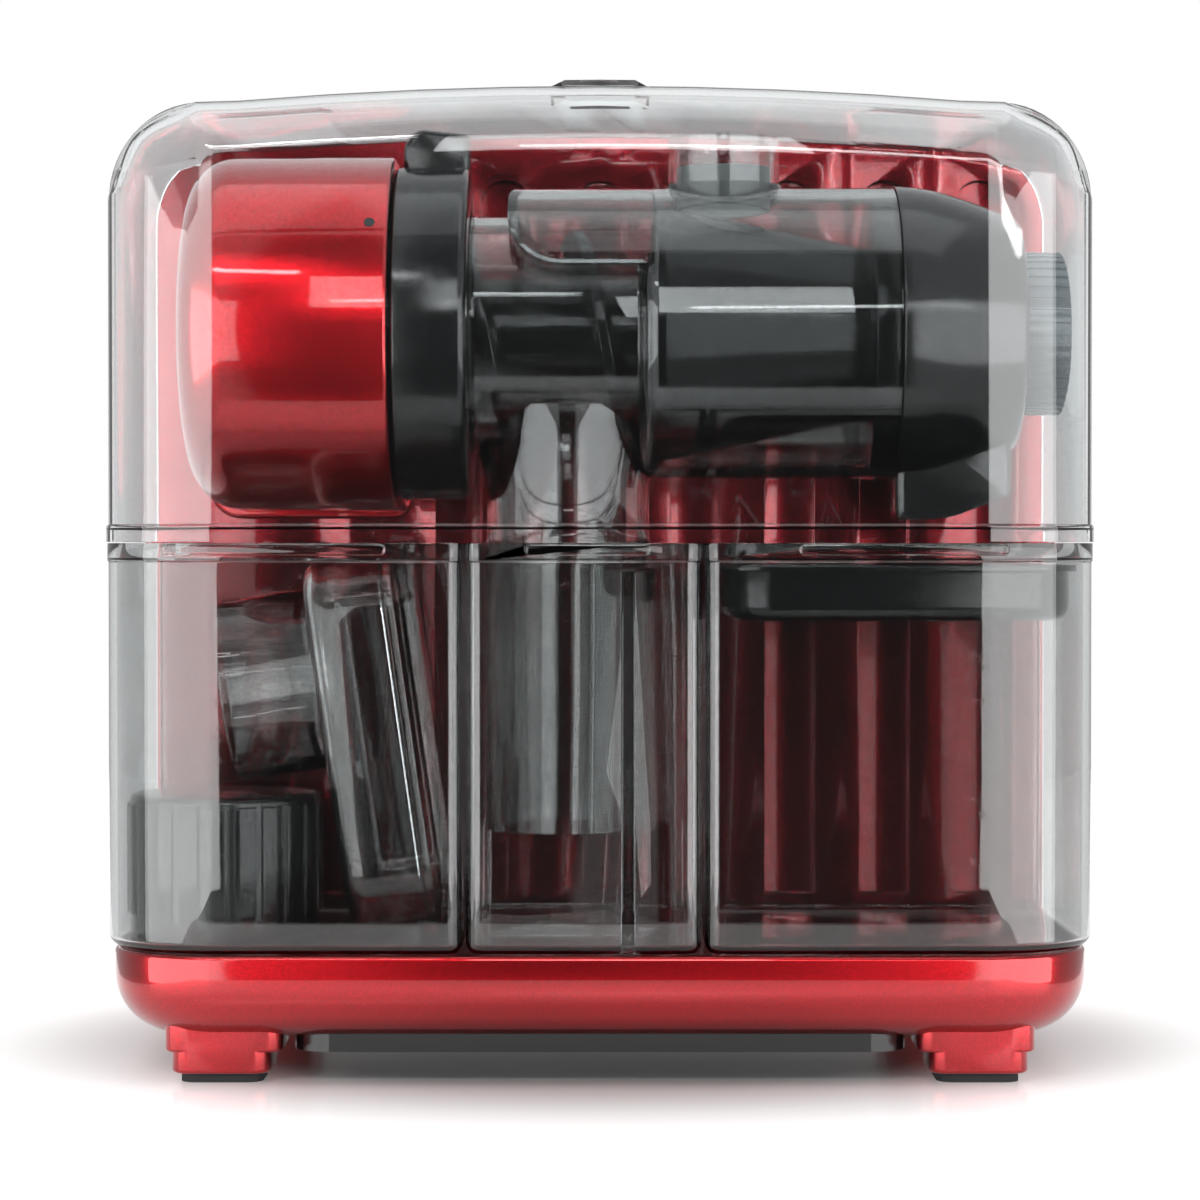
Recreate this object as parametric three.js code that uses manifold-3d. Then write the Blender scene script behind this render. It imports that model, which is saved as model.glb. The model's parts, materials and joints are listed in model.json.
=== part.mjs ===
// Horizontal slow juicer packed away in its storage cube: a red base and rear column, a motor head
// with a locking ring, the clear juicing drum hung with its feed chute downwards, a clear hood over
// it and three clear bins below. Millimetres, +Z up, the front faces -Y, origin at bottom centre.
import * as THREE from 'three';
import { mergeVertices } from 'three/addons/utils/BufferGeometryUtils.js';
import Module from 'manifold-3d';

const wasm = await Module();
wasm.setup();

// ---------- driving dimensions ----------
const WIDTH = 310;
const DEPTH = 205;
const FRONT = -DEPTH / 2;
const REAR = DEPTH / 2;
const GAP = 0.3;

const FOOT_TOP = 2.6;
const BASE_BOTTOM = 14;
const BASE_TOP = 40.8;
const BASE_HALF_WIDTH = 153;
const DECK_THICKNESS = 3.2;

const COLUMN_FRONT = 16;
const COLUMN_WALL = 3.5;
const COLUMN_FRONT_WALL = 7.5;
const REAR_COVER_THICKNESS = 3.2;
const COLUMN_EDGES = [3, 3, 6, 6];
const FLUTE_PITCH = 32.3;
const FLUTE_WIDTH = 16.6;
const FLUTE_DEPTH = 4.2;
const FLUTE_BOTTOM = 48;
const FLUTE_TOP = 290.7;
const SHORT_FLUTE_TOP = 160;

const CLEAR_WALL = 2.5;
const CORNER_RADIUS = 34;
const BIN_BOTTOM = BASE_TOP + GAP;
const BIN_TOP = 167.2;
const BIN_BACK = COLUMN_FRONT - 1.6;
const LEDGE = 158;
const HOOD_BOTTOM = BIN_TOP + 0.4;
const CROWN_TOP = 309.3;
const CROWN_DROP = 5.8;
const SHOULDER_RADIUS = 29;
const HOOD_EDGE_RADIUS = 17;

const AXIS_Y = -42;
const AXIS_Z = 234.7;
const HEAD_RADIUS = 56.5;
const HEAD_LEFT = -131.4;
const HEAD_RIGHT = -65.5;
const HEAD_WALL = 3;
const RING_LEFT = HEAD_RIGHT + 0.4;
const RING_RIGHT = -41.4;
const RING_RADIUS = 53.4;
const LEVER_REACH = 66.8;

const COUPLING_RADIUS = 38;
const DRUM_RADIUS = 46.9;
const DRUM_WALL = 2.8;
const DRUM_LEFT = HEAD_RIGHT + 6.4;
const DRUM_STEP = 12.9;
const DRUM_RIGHT = 93.8;
const CHUTE_X = -10.4;
const CHUTE_RADIUS = 26.2;
const CHUTE_BOTTOM = 75;
const OUTLET_X = 39.8;
const OUTLET_RADIUS = 17.8;
const OUTLET_TOP = 298;
const AUGER_RADIUS = 33.5;
const AUGER_LEFT = -51;
const AUGER_RIGHT = 92;
const SHAFT_RADIUS = 7;
const DRIVE_SQUARE = 11;

const PRESSURE_ANGLE = THREE.MathUtils.degToRad(20);
const TOOTH_BACKLASH = 0.3;
const CENTRE_SLACK = 0.25;

// ---------- materials ----------
const finish = (color, roughness, metalness, opacity = 1) => new THREE.MeshStandardMaterial({
  color, roughness, metalness, opacity, transparent: opacity < 1,
});
const redLacquer = finish(0xb3202a, 0.3, 0.6);
const clearHood = finish(0xc9cfd2, 0.08, 0, 0.35);
const smokeClear = finish(0x8d9496, 0.1, 0, 0.35);
const blackPlastic = finish(0x25282a, 0.4, 0);
const greyPlastic = finish(0x55636a, 0.45, 0);
const rubber = finish(0x161616, 0.85, 0);
const silicone = finish(0xd9dcda, 0.5, 0);
const steel = finish(0x9fa3a6, 0.35, 1);
const darkSteel = finish(0x5b5e60, 0.4, 1);
const copper = finish(0xa8693d, 0.4, 0.9);
const brass = finish(0xb59a52, 0.35, 0.9);
const gearNylon = finish(0xe4e0d2, 0.6, 0);
const boardGreen = finish(0x2c5b3a, 0.6, 0);

// ---------- solid making ----------
function signedVolume(points, faces) {
  const a = new THREE.Vector3();
  const b = new THREE.Vector3();
  const c = new THREE.Vector3();
  let sum = 0;
  for (let i = 0; i < faces.length; i += 3) {
    a.fromArray(points, 3 * faces[i]);
    b.fromArray(points, 3 * faces[i + 1]);
    c.fromArray(points, 3 * faces[i + 2]);
    sum += a.dot(b.cross(c));
  }
  return sum;
}

// A closed three.js geometry as a solid for joining and cutting.
function solid(geometry) {
  geometry.deleteAttribute('normal');
  geometry.deleteAttribute('uv');
  const merged = mergeVertices(geometry, 1e-4);
  const points = Float32Array.from(merged.attributes.position.array);
  let faces = [];
  const index = merged.index.array;
  for (let i = 0; i < index.length; i += 3) {
    const [a, b, c] = [index[i], index[i + 1], index[i + 2]];
    if (a !== b && b !== c && c !== a) faces.push(a, b, c);
  }
  if (signedVolume(points, faces) < 0) faces = faces.reverse();
  const triVerts = Uint32Array.from(faces);
  return new wasm.Manifold(new wasm.Mesh({ numProp: 3, vertProperties: points, triVerts }));
}

function piece(name, body, material) {
  const { vertProperties, triVerts } = body.getMesh();
  const geometry = new THREE.BufferGeometry();
  geometry.setAttribute('position', new THREE.BufferAttribute(vertProperties, 3));
  geometry.setIndex(new THREE.BufferAttribute(triVerts, 1));
  geometry.computeVertexNormals();
  const mesh = new THREE.Mesh(geometry, material);
  mesh.name = name;
  return mesh;
}

const extruded = (shape, length, curveSegments) => new THREE.ExtrudeGeometry(
  shape, { depth: length, bevelEnabled: false, curveSegments },
);

// A shape drawn in (x, y), pulled from z0 to z1.
const alongZ = (shape, z0, z1, segments = 7) => solid(extruded(shape, z1 - z0, segments).translate(0, 0, z0));

// A shape drawn in (y, z), pulled from x0 to x1.
function alongX(shape, x0, x1, segments = 7) {
  const turn = new THREE.Matrix4().makeBasis(
    new THREE.Vector3(0, 1, 0), new THREE.Vector3(0, 0, 1), new THREE.Vector3(1, 0, 0),
  );
  return solid(extruded(shape, x1 - x0, segments).applyMatrix4(turn).translate(x0, 0, 0));
}

// A shape drawn in (x, z), pulled from y0 to y1.
function alongY(shape, y0, y1, segments = 7) {
  const turn = new THREE.Matrix4().makeBasis(
    new THREE.Vector3(1, 0, 0), new THREE.Vector3(0, 0, 1), new THREE.Vector3(0, -1, 0),
  );
  return solid(extruded(shape, y1 - y0, segments).applyMatrix4(turn).translate(0, y1, 0));
}

const box = (x0, x1, y0, y1, z0, z1) => solid(
  new THREE.BoxGeometry(x1 - x0, y1 - y0, z1 - z0).translate((x0 + x1) / 2, (y0 + y1) / 2, (z0 + z1) / 2),
);

// A closed profile of [x, radius] pairs turned about an axis parallel to X.
function turnedX(profile, segments = 32, y = AXIS_Y, z = AXIS_Z) {
  const points = profile.map(([x, radius]) => new THREE.Vector2(radius, x));
  return solid(new THREE.LatheGeometry(points, segments).rotateZ(-Math.PI / 2).translate(0, y, z));
}

// A closed profile of [radius, z] pairs turned about a vertical axis.
function turnedZ(profile, segments, x, y) {
  const points = profile.map(([radius, z]) => new THREE.Vector2(radius, z));
  return solid(new THREE.LatheGeometry(points, segments).rotateX(Math.PI / 2).translate(x, y, 0));
}

const rodX = (x0, x1, radius, y, z, segments = 14) => turnedX(
  [[x0, 0], [x0, radius], [x1, radius], [x1, 0]], segments, y, z,
);
const tubeX = (x0, x1, outer, inner, y, z, segments = 20) => turnedX(
  [[x0, inner], [x0, outer], [x1, outer], [x1, inner], [x0, inner]], segments, y, z,
);
const rodZ = (x, y, radius, z0, z1, segments = 16) => turnedZ(
  [[0, z0], [radius, z0], [radius, z1], [0, z1]], segments, x, y,
);
const tubeZ = (x, y, outer, inner, z0, z1, segments = 20) => turnedZ(
  [[inner, z0], [outer, z0], [outer, z1], [inner, z1], [inner, z0]], segments, x, y,
);
const rodY = (x, z, radius, y0, y1, segments = 12) => solid(
  new THREE.CylinderGeometry(radius, radius, y1 - y0, segments).translate(x, (y0 + y1) / 2, z),
);
const joined = (parts) => parts.reduce((sum, part) => sum.add(part));

// ---------- outlines ----------
// A rectangle with its own radius at each corner: low-low, high-low, high-high, low-high.
function roundedRect(u0, u1, v0, v1, radii) {
  const [a, b, c, d] = radii;
  const shape = new THREE.Shape();
  shape.moveTo(u0 + a, v0);
  shape.lineTo(u1 - b, v0);
  shape.absarc(u1 - b, v0 + b, b, -Math.PI / 2, 0);
  shape.lineTo(u1, v1 - c);
  shape.absarc(u1 - c, v1 - c, c, 0, Math.PI / 2);
  shape.lineTo(u0 + d, v1);
  shape.absarc(u0 + d, v1 - d, d, Math.PI / 2, Math.PI);
  shape.lineTo(u0, v0 + a);
  shape.absarc(u0 + a, v0 + a, a, Math.PI, 1.5 * Math.PI);
  return shape;
}

// The cube's front view: straight sides, round shoulders and a slightly crowned top.
function crownedOutline(halfWidth, bottom, top, radius) {
  const shape = new THREE.Shape();
  const shoulder = top - CROWN_DROP;
  shape.moveTo(-halfWidth, bottom);
  shape.lineTo(halfWidth, bottom);
  shape.lineTo(halfWidth, shoulder - radius);
  shape.absarc(halfWidth - radius, shoulder - radius, radius, 0, Math.PI / 2);
  shape.quadraticCurveTo(0, top + CROWN_DROP, -halfWidth + radius, shoulder);
  shape.absarc(-halfWidth + radius, shoulder - radius, radius, Math.PI / 2, Math.PI);
  return shape;
}

// A spur gear outline with involute flanks and one tooth centred on the direction given by turn.
function gearOutline(teeth, module, turn) {
  const pitch = teeth * module / 2;
  const base = pitch * Math.cos(PRESSURE_ANGLE);
  const tip = pitch + 0.8 * module;
  const root = pitch - 1.2 * module;
  const involute = (angle) => Math.tan(angle) - angle;
  const halfTooth = Math.PI / (2 * teeth) - TOOTH_BACKLASH / (2 * pitch) + involute(PRESSURE_ANGLE);
  const start = Math.max(base, root);
  const radii = [start, tip];
  const points = [];
  for (let tooth = 0; tooth < teeth; tooth += 1) {
    const middle = turn + tooth * 2 * Math.PI / teeth;
    const flank = radii.map((radius) => [radius, halfTooth - involute(Math.acos(base / radius))]);
    if (root < base) flank.unshift([root, flank[0][1]]);
    flank.forEach(([radius, angle]) => points.push([radius, middle - angle]));
    flank.reverse().forEach(([radius, angle]) => points.push([radius, middle + angle]));
  }
  return new THREE.Shape(points.map(([radius, angle]) => new THREE.Vector2(
    radius * Math.cos(angle), radius * Math.sin(angle),
  )));
}

// ---------- base ----------
const footPlaces = [
  ['front_left', -117.5, -78], ['front_right', 117.5, -78],
  ['rear_left', -117.5, 78], ['rear_right', 117.5, 78],
];

function baseHousing() {
  const footprint = roundedRect(
    -BASE_HALF_WIDTH, BASE_HALF_WIDTH, FRONT, REAR, [CORNER_RADIUS, CORNER_RADIUS, 22, 22],
  );
  const frontView = roundedRect(-BASE_HALF_WIDTH, BASE_HALF_WIDTH, BASE_BOTTOM, BASE_TOP, [22, 22, 1.5, 1.5]);
  const sideView = roundedRect(FRONT, REAR, BASE_BOTTOM, BASE_TOP, [10, 10, 1.5, 1.5]);
  const shell = alongZ(footprint, BASE_BOTTOM, BASE_TOP, 5)
    .intersect(alongY(frontView, FRONT, REAR, 5))
    .intersect(alongX(sideView, -WIDTH, WIDTH, 2));
  const blocks = footPlaces.map(([, x, y]) => alongZ(
    roundedRect(x - 15.5, x + 15.5, y - 14, y + 14, [5, 5, 5, 5]), FOOT_TOP + GAP, BASE_BOTTOM + 12, 2,
  ));
  const pocket = alongZ(
    roundedRect(-96, 96, -90, 90, [12, 12, 12, 12]), BASE_BOTTOM - 1, BASE_TOP - DECK_THICKNESS, 2,
  );
  return joined([shell, ...blocks]).subtract(pocket);
}

const bottomCover = () => alongZ(roundedRect(-95.5, 95.5, -89.5, 89.5, [11.5, 11.5, 11.5, 11.5]), 9.5, 16.5, 2);

const footPads = () => footPlaces.map(([name, x, y]) => piece(
  `foot_pad_${name}`,
  alongZ(roundedRect(x - 12.8, x + 12.8, y - 11, y + 11, [5, 5, 5, 5]), 0, FOOT_TOP, 2),
  rubber,
));

// ---------- rear column ----------
const screwPlaces = [[-144.5, 70], [144.5, 70], [-144.5, 262], [144.5, 262]];
const switchPlace = { x: 112, z: 86, width: 13, height: 19.5 };
const glandPlace = { x: -118, z: 62, radius: 8 };

function columnHousing() {
  const outline = crownedOutline(WIDTH / 2, BASE_TOP + GAP, CROWN_TOP, SHOULDER_RADIUS);
  const back = REAR - REAR_COVER_THICKNESS - GAP;
  const topView = roundedRect(-WIDTH / 2, WIDTH / 2, COLUMN_FRONT, REAR, COLUMN_EDGES);
  const shell = alongY(outline, COLUMN_FRONT, back).intersect(alongZ(topView, 0, 2 * WIDTH, 3));
  const cavity = alongY(crownedOutline(
    WIDTH / 2 - COLUMN_WALL,
    BASE_TOP + GAP + COLUMN_WALL,
    CROWN_TOP - COLUMN_WALL,
    SHOULDER_RADIUS - COLUMN_WALL,
  ), COLUMN_FRONT + COLUMN_FRONT_WALL, REAR);
  const flutes = [];
  for (let place = -4; place <= 4; place += 1) {
    const x = place * FLUTE_PITCH;
    const top = place < -1 ? SHORT_FLUTE_TOP : FLUTE_TOP;
    const half = FLUTE_WIDTH / 2;
    const flute = new THREE.Shape();
    flute.moveTo(x - half, FLUTE_BOTTOM);
    flute.lineTo(x + half, FLUTE_BOTTOM);
    flute.absarc(x, top - half, half, 0, Math.PI);
    flutes.push(alongY(flute, COLUMN_FRONT - 1, COLUMN_FRONT + FLUTE_DEPTH, 6));
  }
  const gearWindow = alongY(roundedRect(-129, -75, 187, 282, [8, 8, 8, 8]), 0, COLUMN_FRONT + 12, 3);
  const bosses = screwPlaces.map(([x, z]) => rodY(x + Math.sign(x) * 2.6, z, 7, 60, back, 10));
  const bossHoles = screwPlaces.map(([x, z]) => rodY(x, z, 2.2, 70, REAR, 8));
  return joined([shell.subtract(joined([cavity, ...flutes, gearWindow])), ...bosses])
    .intersect(shell)
    .subtract(joined(bossHoles));
}

function rearCover() {
  const outline = crownedOutline(WIDTH / 2, BASE_TOP + GAP, CROWN_TOP, SHOULDER_RADIUS);
  const topView = roundedRect(-WIDTH / 2, WIDTH / 2, COLUMN_FRONT, REAR, COLUMN_EDGES);
  const plate = alongY(outline, REAR - REAR_COVER_THICKNESS, REAR).intersect(alongZ(topView, 0, 2 * WIDTH, 3));
  const cuts = [];
  for (let row = 0; row < 7; row += 1) {
    const z = 118 + 9 * row;
    cuts.push(box(-62, 22, 90, REAR + 1, z, z + 4));
  }
  screwPlaces.forEach(([x, z]) => {
    cuts.push(rodY(x, z, 2.2, 90, REAR + 1, 8));
    cuts.push(rodY(x, z, 4, REAR - 1.8, REAR + 1, 10));
  });
  const { x, z, width, height } = switchPlace;
  cuts.push(box(x - width, x + width, 90, REAR + 1, z - height, z + height));
  cuts.push(rodY(glandPlace.x, glandPlace.z, glandPlace.radius + GAP, 90, REAR + 1, 20));
  return plate.subtract(joined(cuts));
}

const rearScrews = () => screwPlaces.map(([x, z], place) => {
  const screw = rodY(x, z, 3.7, REAR - 1.5, REAR - 0.2, 10)
    .add(rodY(x, z, 1.8, 84, REAR - 1.5, 8))
    .subtract(box(x - 2.4, x + 2.4, REAR - 0.8, REAR, z - 0.5, z + 0.5));
  return piece(`rear_screw_${place + 1}`, screw, darkSteel);
});

// ---------- switch, cord gland and control board ----------

function switchFrame() {
  const { x, z, width, height } = switchPlace;
  const outer = box(x - width + GAP, x + width - GAP, 78, REAR - 0.4, z - height + GAP, z + height - GAP);
  return outer.subtract(box(x - 9.4, x + 9.4, 84, REAR + 1, z - 15.6, z + 15.6));
}

function switchRocker() {
  const { x, z } = switchPlace;
  const sideView = new THREE.Shape();
  sideView.moveTo(REAR - 9, z - 10);
  sideView.lineTo(REAR - 3.4, z - 13.6);
  sideView.quadraticCurveTo(REAR - 4.6, z, REAR - 3.4, z + 13.6);
  sideView.lineTo(REAR - 9, z + 10);
  return alongX(sideView, x - 8.8, x + 8.8, 6);
}

function cordGland() {
  const { x, z, radius } = glandPlace;
  const collar = rodY(x, z, radius, 88, REAR - 0.3, 16).add(rodY(x, z, radius + 2.5, 88, REAR - 3.6, 16));
  return collar.subtract(rodY(x, z, 3.6, 80, REAR + 1, 10));
}

function controlBoard() {
  const board = box(46, 102, 58, 59.6, 66, 136);
  const parts = [
    box(52, 66, 59.5, 76, 74, 92), box(72, 94, 59.5, 70, 72, 84), box(54, 62, 59.5, 72, 104, 126),
    box(70, 88, 59.5, 66, 98, 118), rodY(94, 126, 5, 59.5, 78, 14),
  ];
  return joined([board, ...parts]);
}

// ---------- motor head ----------
function headSection(radius, back) {
  const shape = new THREE.Shape();
  shape.moveTo(back, AXIS_Z - radius);
  shape.lineTo(back, AXIS_Z + radius);
  shape.lineTo(AXIS_Y, AXIS_Z + radius);
  shape.absarc(AXIS_Y, AXIS_Z, radius, Math.PI / 2, 1.5 * Math.PI);
  return shape;
}

function motorHead() {
  const back = COLUMN_FRONT - GAP;
  const outer = alongX(headSection(HEAD_RADIUS, back), HEAD_LEFT, HEAD_RIGHT, 18)
    .intersect(alongY(roundedRect(
      HEAD_LEFT, HEAD_RIGHT, AXIS_Z - HEAD_RADIUS, AXIS_Z + HEAD_RADIUS, [16, 1.5, 1.5, 16],
    ), 2 * FRONT, REAR, 4))
    .intersect(alongZ(roundedRect(
      HEAD_LEFT, HEAD_RIGHT, AXIS_Y - HEAD_RADIUS, REAR, [16, 1.5, 1.5, 1.5],
    ), 0, 2 * WIDTH, 4));
  const flange = alongY(roundedRect(
    HEAD_LEFT - 2, HEAD_RIGHT + 2, AXIS_Z - HEAD_RADIUS - 2.5, AXIS_Z + HEAD_RADIUS + 2.5, [14, 8, 8, 14],
  ), back - 3, back, 3);
  const inner = alongX(headSection(HEAD_RADIUS - HEAD_WALL, REAR), HEAD_LEFT + HEAD_WALL, 0, 14)
    .intersect(alongY(roundedRect(
      HEAD_LEFT + HEAD_WALL, 0, AXIS_Z - HEAD_RADIUS, AXIS_Z + HEAD_RADIUS, [13, 1, 1, 13],
    ), 2 * FRONT, 2 * REAR, 3));
  return outer.add(flange).subtract(inner.intersect(box(-WIDTH, WIDTH, -WIDTH, WIDTH, 182, 288)));
}

const PLATE_RADIUS = HEAD_RADIUS - HEAD_WALL - 0.4;

function couplingPlate() {
  const plate = alongX(headSection(PLATE_RADIUS, COLUMN_FRONT - 4), HEAD_RIGHT - 4, HEAD_RIGHT - 0.2, 14)
    .intersect(box(-WIDTH, WIDTH, -WIDTH, WIDTH, 182.4, 287.6));
  const neck = turnedX([
    [HEAD_RIGHT - 1, 0], [HEAD_RIGHT - 1, 38.6], [HEAD_RIGHT + 2.9, 38.6], [HEAD_RIGHT + 2.9, 41.5],
    [DRUM_LEFT - 0.6, 41.5], [DRUM_LEFT - 0.6, 0],
  ], 28);
  const seat = tubeX(HEAD_RIGHT - 10, HEAD_RIGHT - 3, 17, 12.4, AXIS_Y, AXIS_Z, 20);
  return joined([plate, neck, seat]).subtract(joined([
    rodX(-100, 0, 12.4, AXIS_Y, AXIS_Z, 20),
    rodX(-100, 0, IDLER_SHAFT + 0.1, secondAxis.y, secondAxis.z),
  ]));
}

// ---------- locking ring ----------
const LUG_LENGTH = 4.5;
const LUG_LEFT = RING_RIGHT - 8.4;
const LUG_REACH = 40.2;
const LUG_HALF_ANGLE = THREE.MathUtils.degToRad(16);
const RING_OPENS = THREE.MathUtils.degToRad(50);

// A block that reaches out from the drum axis, centred on an angle from +Y towards +Z.
function radialBlock(x0, x1, near, far, halfWidth, angle) {
  const geometry = new THREE.BoxGeometry(x1 - x0, far - near, 2 * halfWidth);
  geometry.translate((x0 + x1) / 2, (near + far) / 2, 0);
  return solid(geometry.rotateX(angle).translate(0, AXIS_Y, AXIS_Z));
}

const lugAngles = [90, 210, 330].map((angle) => THREE.MathUtils.degToRad(angle));

function lockRing() {
  const body = turnedX([
    [RING_LEFT, 39.2], [RING_LEFT, RING_RADIUS - 1.5], [RING_LEFT + 1.5, RING_RADIUS],
    [RING_RIGHT - 3, RING_RADIUS], [RING_RIGHT, RING_RADIUS - 3], [RING_RIGHT, 38.9],
    [RING_RIGHT - 3.1, 38.9], [RING_RIGHT - 3.1, 42.3], [RING_LEFT + 2, 42.3], [RING_LEFT + 2, 39.2],
    [RING_LEFT, 39.2],
  ], 30);
  const leverView = new THREE.Shape();
  leverView.moveTo(RING_LEFT + 2.2, AXIS_Z + 49);
  leverView.lineTo(RING_RIGHT - 0.4, AXIS_Z + 49);
  leverView.lineTo(RING_RIGHT - 0.4, AXIS_Z + LEVER_REACH - 3);
  leverView.lineTo(RING_RIGHT - 6, AXIS_Z + LEVER_REACH);
  leverView.lineTo(RING_LEFT + 6.6, AXIS_Z + LEVER_REACH);
  leverView.lineTo(RING_LEFT + 2.2, AXIS_Z + LEVER_REACH - 6);
  const lever = alongY(leverView, AXIS_Y - 4, AXIS_Y + 13);
  const slotHalf = 42.3 * Math.sin(LUG_HALF_ANGLE) + 1.2;
  const slots = lugAngles.map((angle) => radialBlock(
    RING_RIGHT - 4, RING_RIGHT + 1, 30, 42.3, slotHalf, angle - RING_OPENS,
  ));
  return body.add(lever).subtract(joined(slots));
}

// ---------- juicing drum ----------
function drumBody() {
  const wall = DRUM_WALL;
  const barrel = turnedX([
    [DRUM_LEFT, 16.2], [DRUM_LEFT, COUPLING_RADIUS], [DRUM_STEP, COUPLING_RADIUS],
    [DRUM_STEP + 2.5, DRUM_RADIUS], [DRUM_RIGHT, DRUM_RADIUS], [DRUM_RIGHT, DRUM_RADIUS - wall],
    [DRUM_STEP + 3, DRUM_RADIUS - wall], [DRUM_STEP + 3, COUPLING_RADIUS - wall],
    [DRUM_LEFT + 2.4, COUPLING_RADIUS - wall], [DRUM_LEFT + 2.4, 16.2], [DRUM_LEFT, 16.2],
  ], 28);
  const lugs = lugAngles.map((angle) => radialBlock(
    LUG_LEFT, LUG_LEFT + LUG_LENGTH, 37, LUG_REACH, LUG_REACH * Math.sin(LUG_HALF_ANGLE), angle,
  ));
  const chute = rodZ(CHUTE_X, AXIS_Y, CHUTE_RADIUS, CHUTE_BOTTOM, AXIS_Z, 24);
  const chuteBore = rodZ(CHUTE_X, AXIS_Y, CHUTE_RADIUS - 2.6, CHUTE_BOTTOM - 1, AXIS_Z, 24);
  const outlet = rodZ(OUTLET_X, AXIS_Y, OUTLET_RADIUS, AXIS_Z + 30, OUTLET_TOP, 20)
    .add(rodZ(OUTLET_X, AXIS_Y, OUTLET_RADIUS + 1.6, AXIS_Z + 40, AXIS_Z + 48.5, 20));
  const outletBore = rodZ(OUTLET_X, AXIS_Y, OUTLET_RADIUS - 2.4, AXIS_Z + 20, OUTLET_TOP + 1, 20);
  const barrelBore = turnedX([
    [DRUM_LEFT + 2.4, 0], [DRUM_LEFT + 2.4, COUPLING_RADIUS - wall], [DRUM_STEP + 3, COUPLING_RADIUS - wall],
    [DRUM_STEP + 3, DRUM_RADIUS - wall], [DRUM_RIGHT + 1, DRUM_RADIUS - wall], [DRUM_RIGHT + 1, 0],
  ], 28);
  const troughView = new THREE.Shape();
  troughView.moveTo(DRUM_STEP + 3, AXIS_Z + 19.4);
  troughView.lineTo(DRUM_STEP + 3, AXIS_Z + 60);
  troughView.lineTo(-29, AXIS_Z + 60);
  troughView.lineTo(-29, AXIS_Z + 40);
  troughView.quadraticCurveTo(-27, AXIS_Z + 21, -9, AXIS_Z + 19.4);
  const trough = tubeX(-29, DRUM_STEP + 3, DRUM_RADIUS, DRUM_RADIUS - wall, AXIS_Y, AXIS_Z, 28)
    .intersect(alongY(troughView, AXIS_Y - 60, AXIS_Y + 60, 5));
  const solidParts = joined([barrel, ...lugs, chute, outlet, trough]);
  return solidParts.subtract(joined([barrelBore, chuteBore, outletBore]));
}

const drumSeal = () => tubeX(DRUM_LEFT + 0.2, DRUM_LEFT + 4.6, 15.8, 13.4, AXIS_Y, AXIS_Z, 20);
const outletSeal = () => tubeZ(OUTLET_X, AXIS_Y, OUTLET_RADIUS - 2.7, OUTLET_RADIUS - 4.6, 277, 287, 20);

// The screw is one lobed section, pulled along X, turned as it goes and narrowed inside the screen.
function auger() {
  const points = [];
  const sides = 16;
  for (let i = 0; i < sides; i += 1) {
    const angle = i * 2 * Math.PI / sides;
    const lobe = Math.pow(Math.max(0, Math.cos(angle / 2)), 8);
    points.push(new THREE.Vector2(
      (18 + (AUGER_RADIUS - 18) * lobe) * Math.cos(angle),
      (18 + (AUGER_RADIUS - 18) * lobe) * Math.sin(angle),
    ));
  }
  const length = AUGER_RIGHT - AUGER_LEFT;
  const steps = 30;
  const turns = 3.6;
  const geometry = new THREE.ExtrudeGeometry(
    new THREE.Shape(points), { depth: length, steps, bevelEnabled: false },
  );
  const place = geometry.attributes.position;
  const corner = new THREE.Vector3();
  for (let i = 0; i < place.count; i += 1) {
    corner.fromBufferAttribute(place, i);
    const x = AUGER_LEFT + corner.z;
    const narrowing = x < 24 ? 1 : 1 - 0.38 * (x - 24) / (AUGER_RIGHT - 24);
    const along = corner.z / length;
    const angle = Math.atan2(corner.y, corner.x) + 2 * Math.PI * turns * along;
    const radius = Math.hypot(corner.x, corner.y) * narrowing;
    place.setXYZ(i, x, AXIS_Y + radius * Math.cos(angle), AXIS_Z + radius * Math.sin(angle));
  }
  const neck = rodX(DRUM_LEFT + 3.1, AUGER_LEFT + 1, 13, AXIS_Y, AXIS_Z, 20);
  const tip = rodX(AUGER_RIGHT - 1, 109.6, 8, AXIS_Y, AXIS_Z, 16);
  const socket = box(
    -62, -40, AXIS_Y - DRIVE_SQUARE / 2 - GAP, AXIS_Y + DRIVE_SQUARE / 2 + GAP,
    AXIS_Z - DRIVE_SQUARE / 2 - GAP, AXIS_Z + DRIVE_SQUARE / 2 + GAP,
  );
  return joined([solid(geometry), neck, tip]).subtract(socket);
}

// A cone with a wide collar at each end that seats in the drum.
function juiceScreen() {
  return turnedX([
    [16.6, 35.6], [16.6, 43.6], [20, 43.6], [20, 41], [85.8, 27.5], [85.8, 43.6], [93.4, 43.6],
    [93.4, 41.6], [88.3, 41.6], [88.3, 25], [85.8, 25], [20, 38.8], [20, 35.6], [16.6, 35.6],
  ], 24);
}

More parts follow.
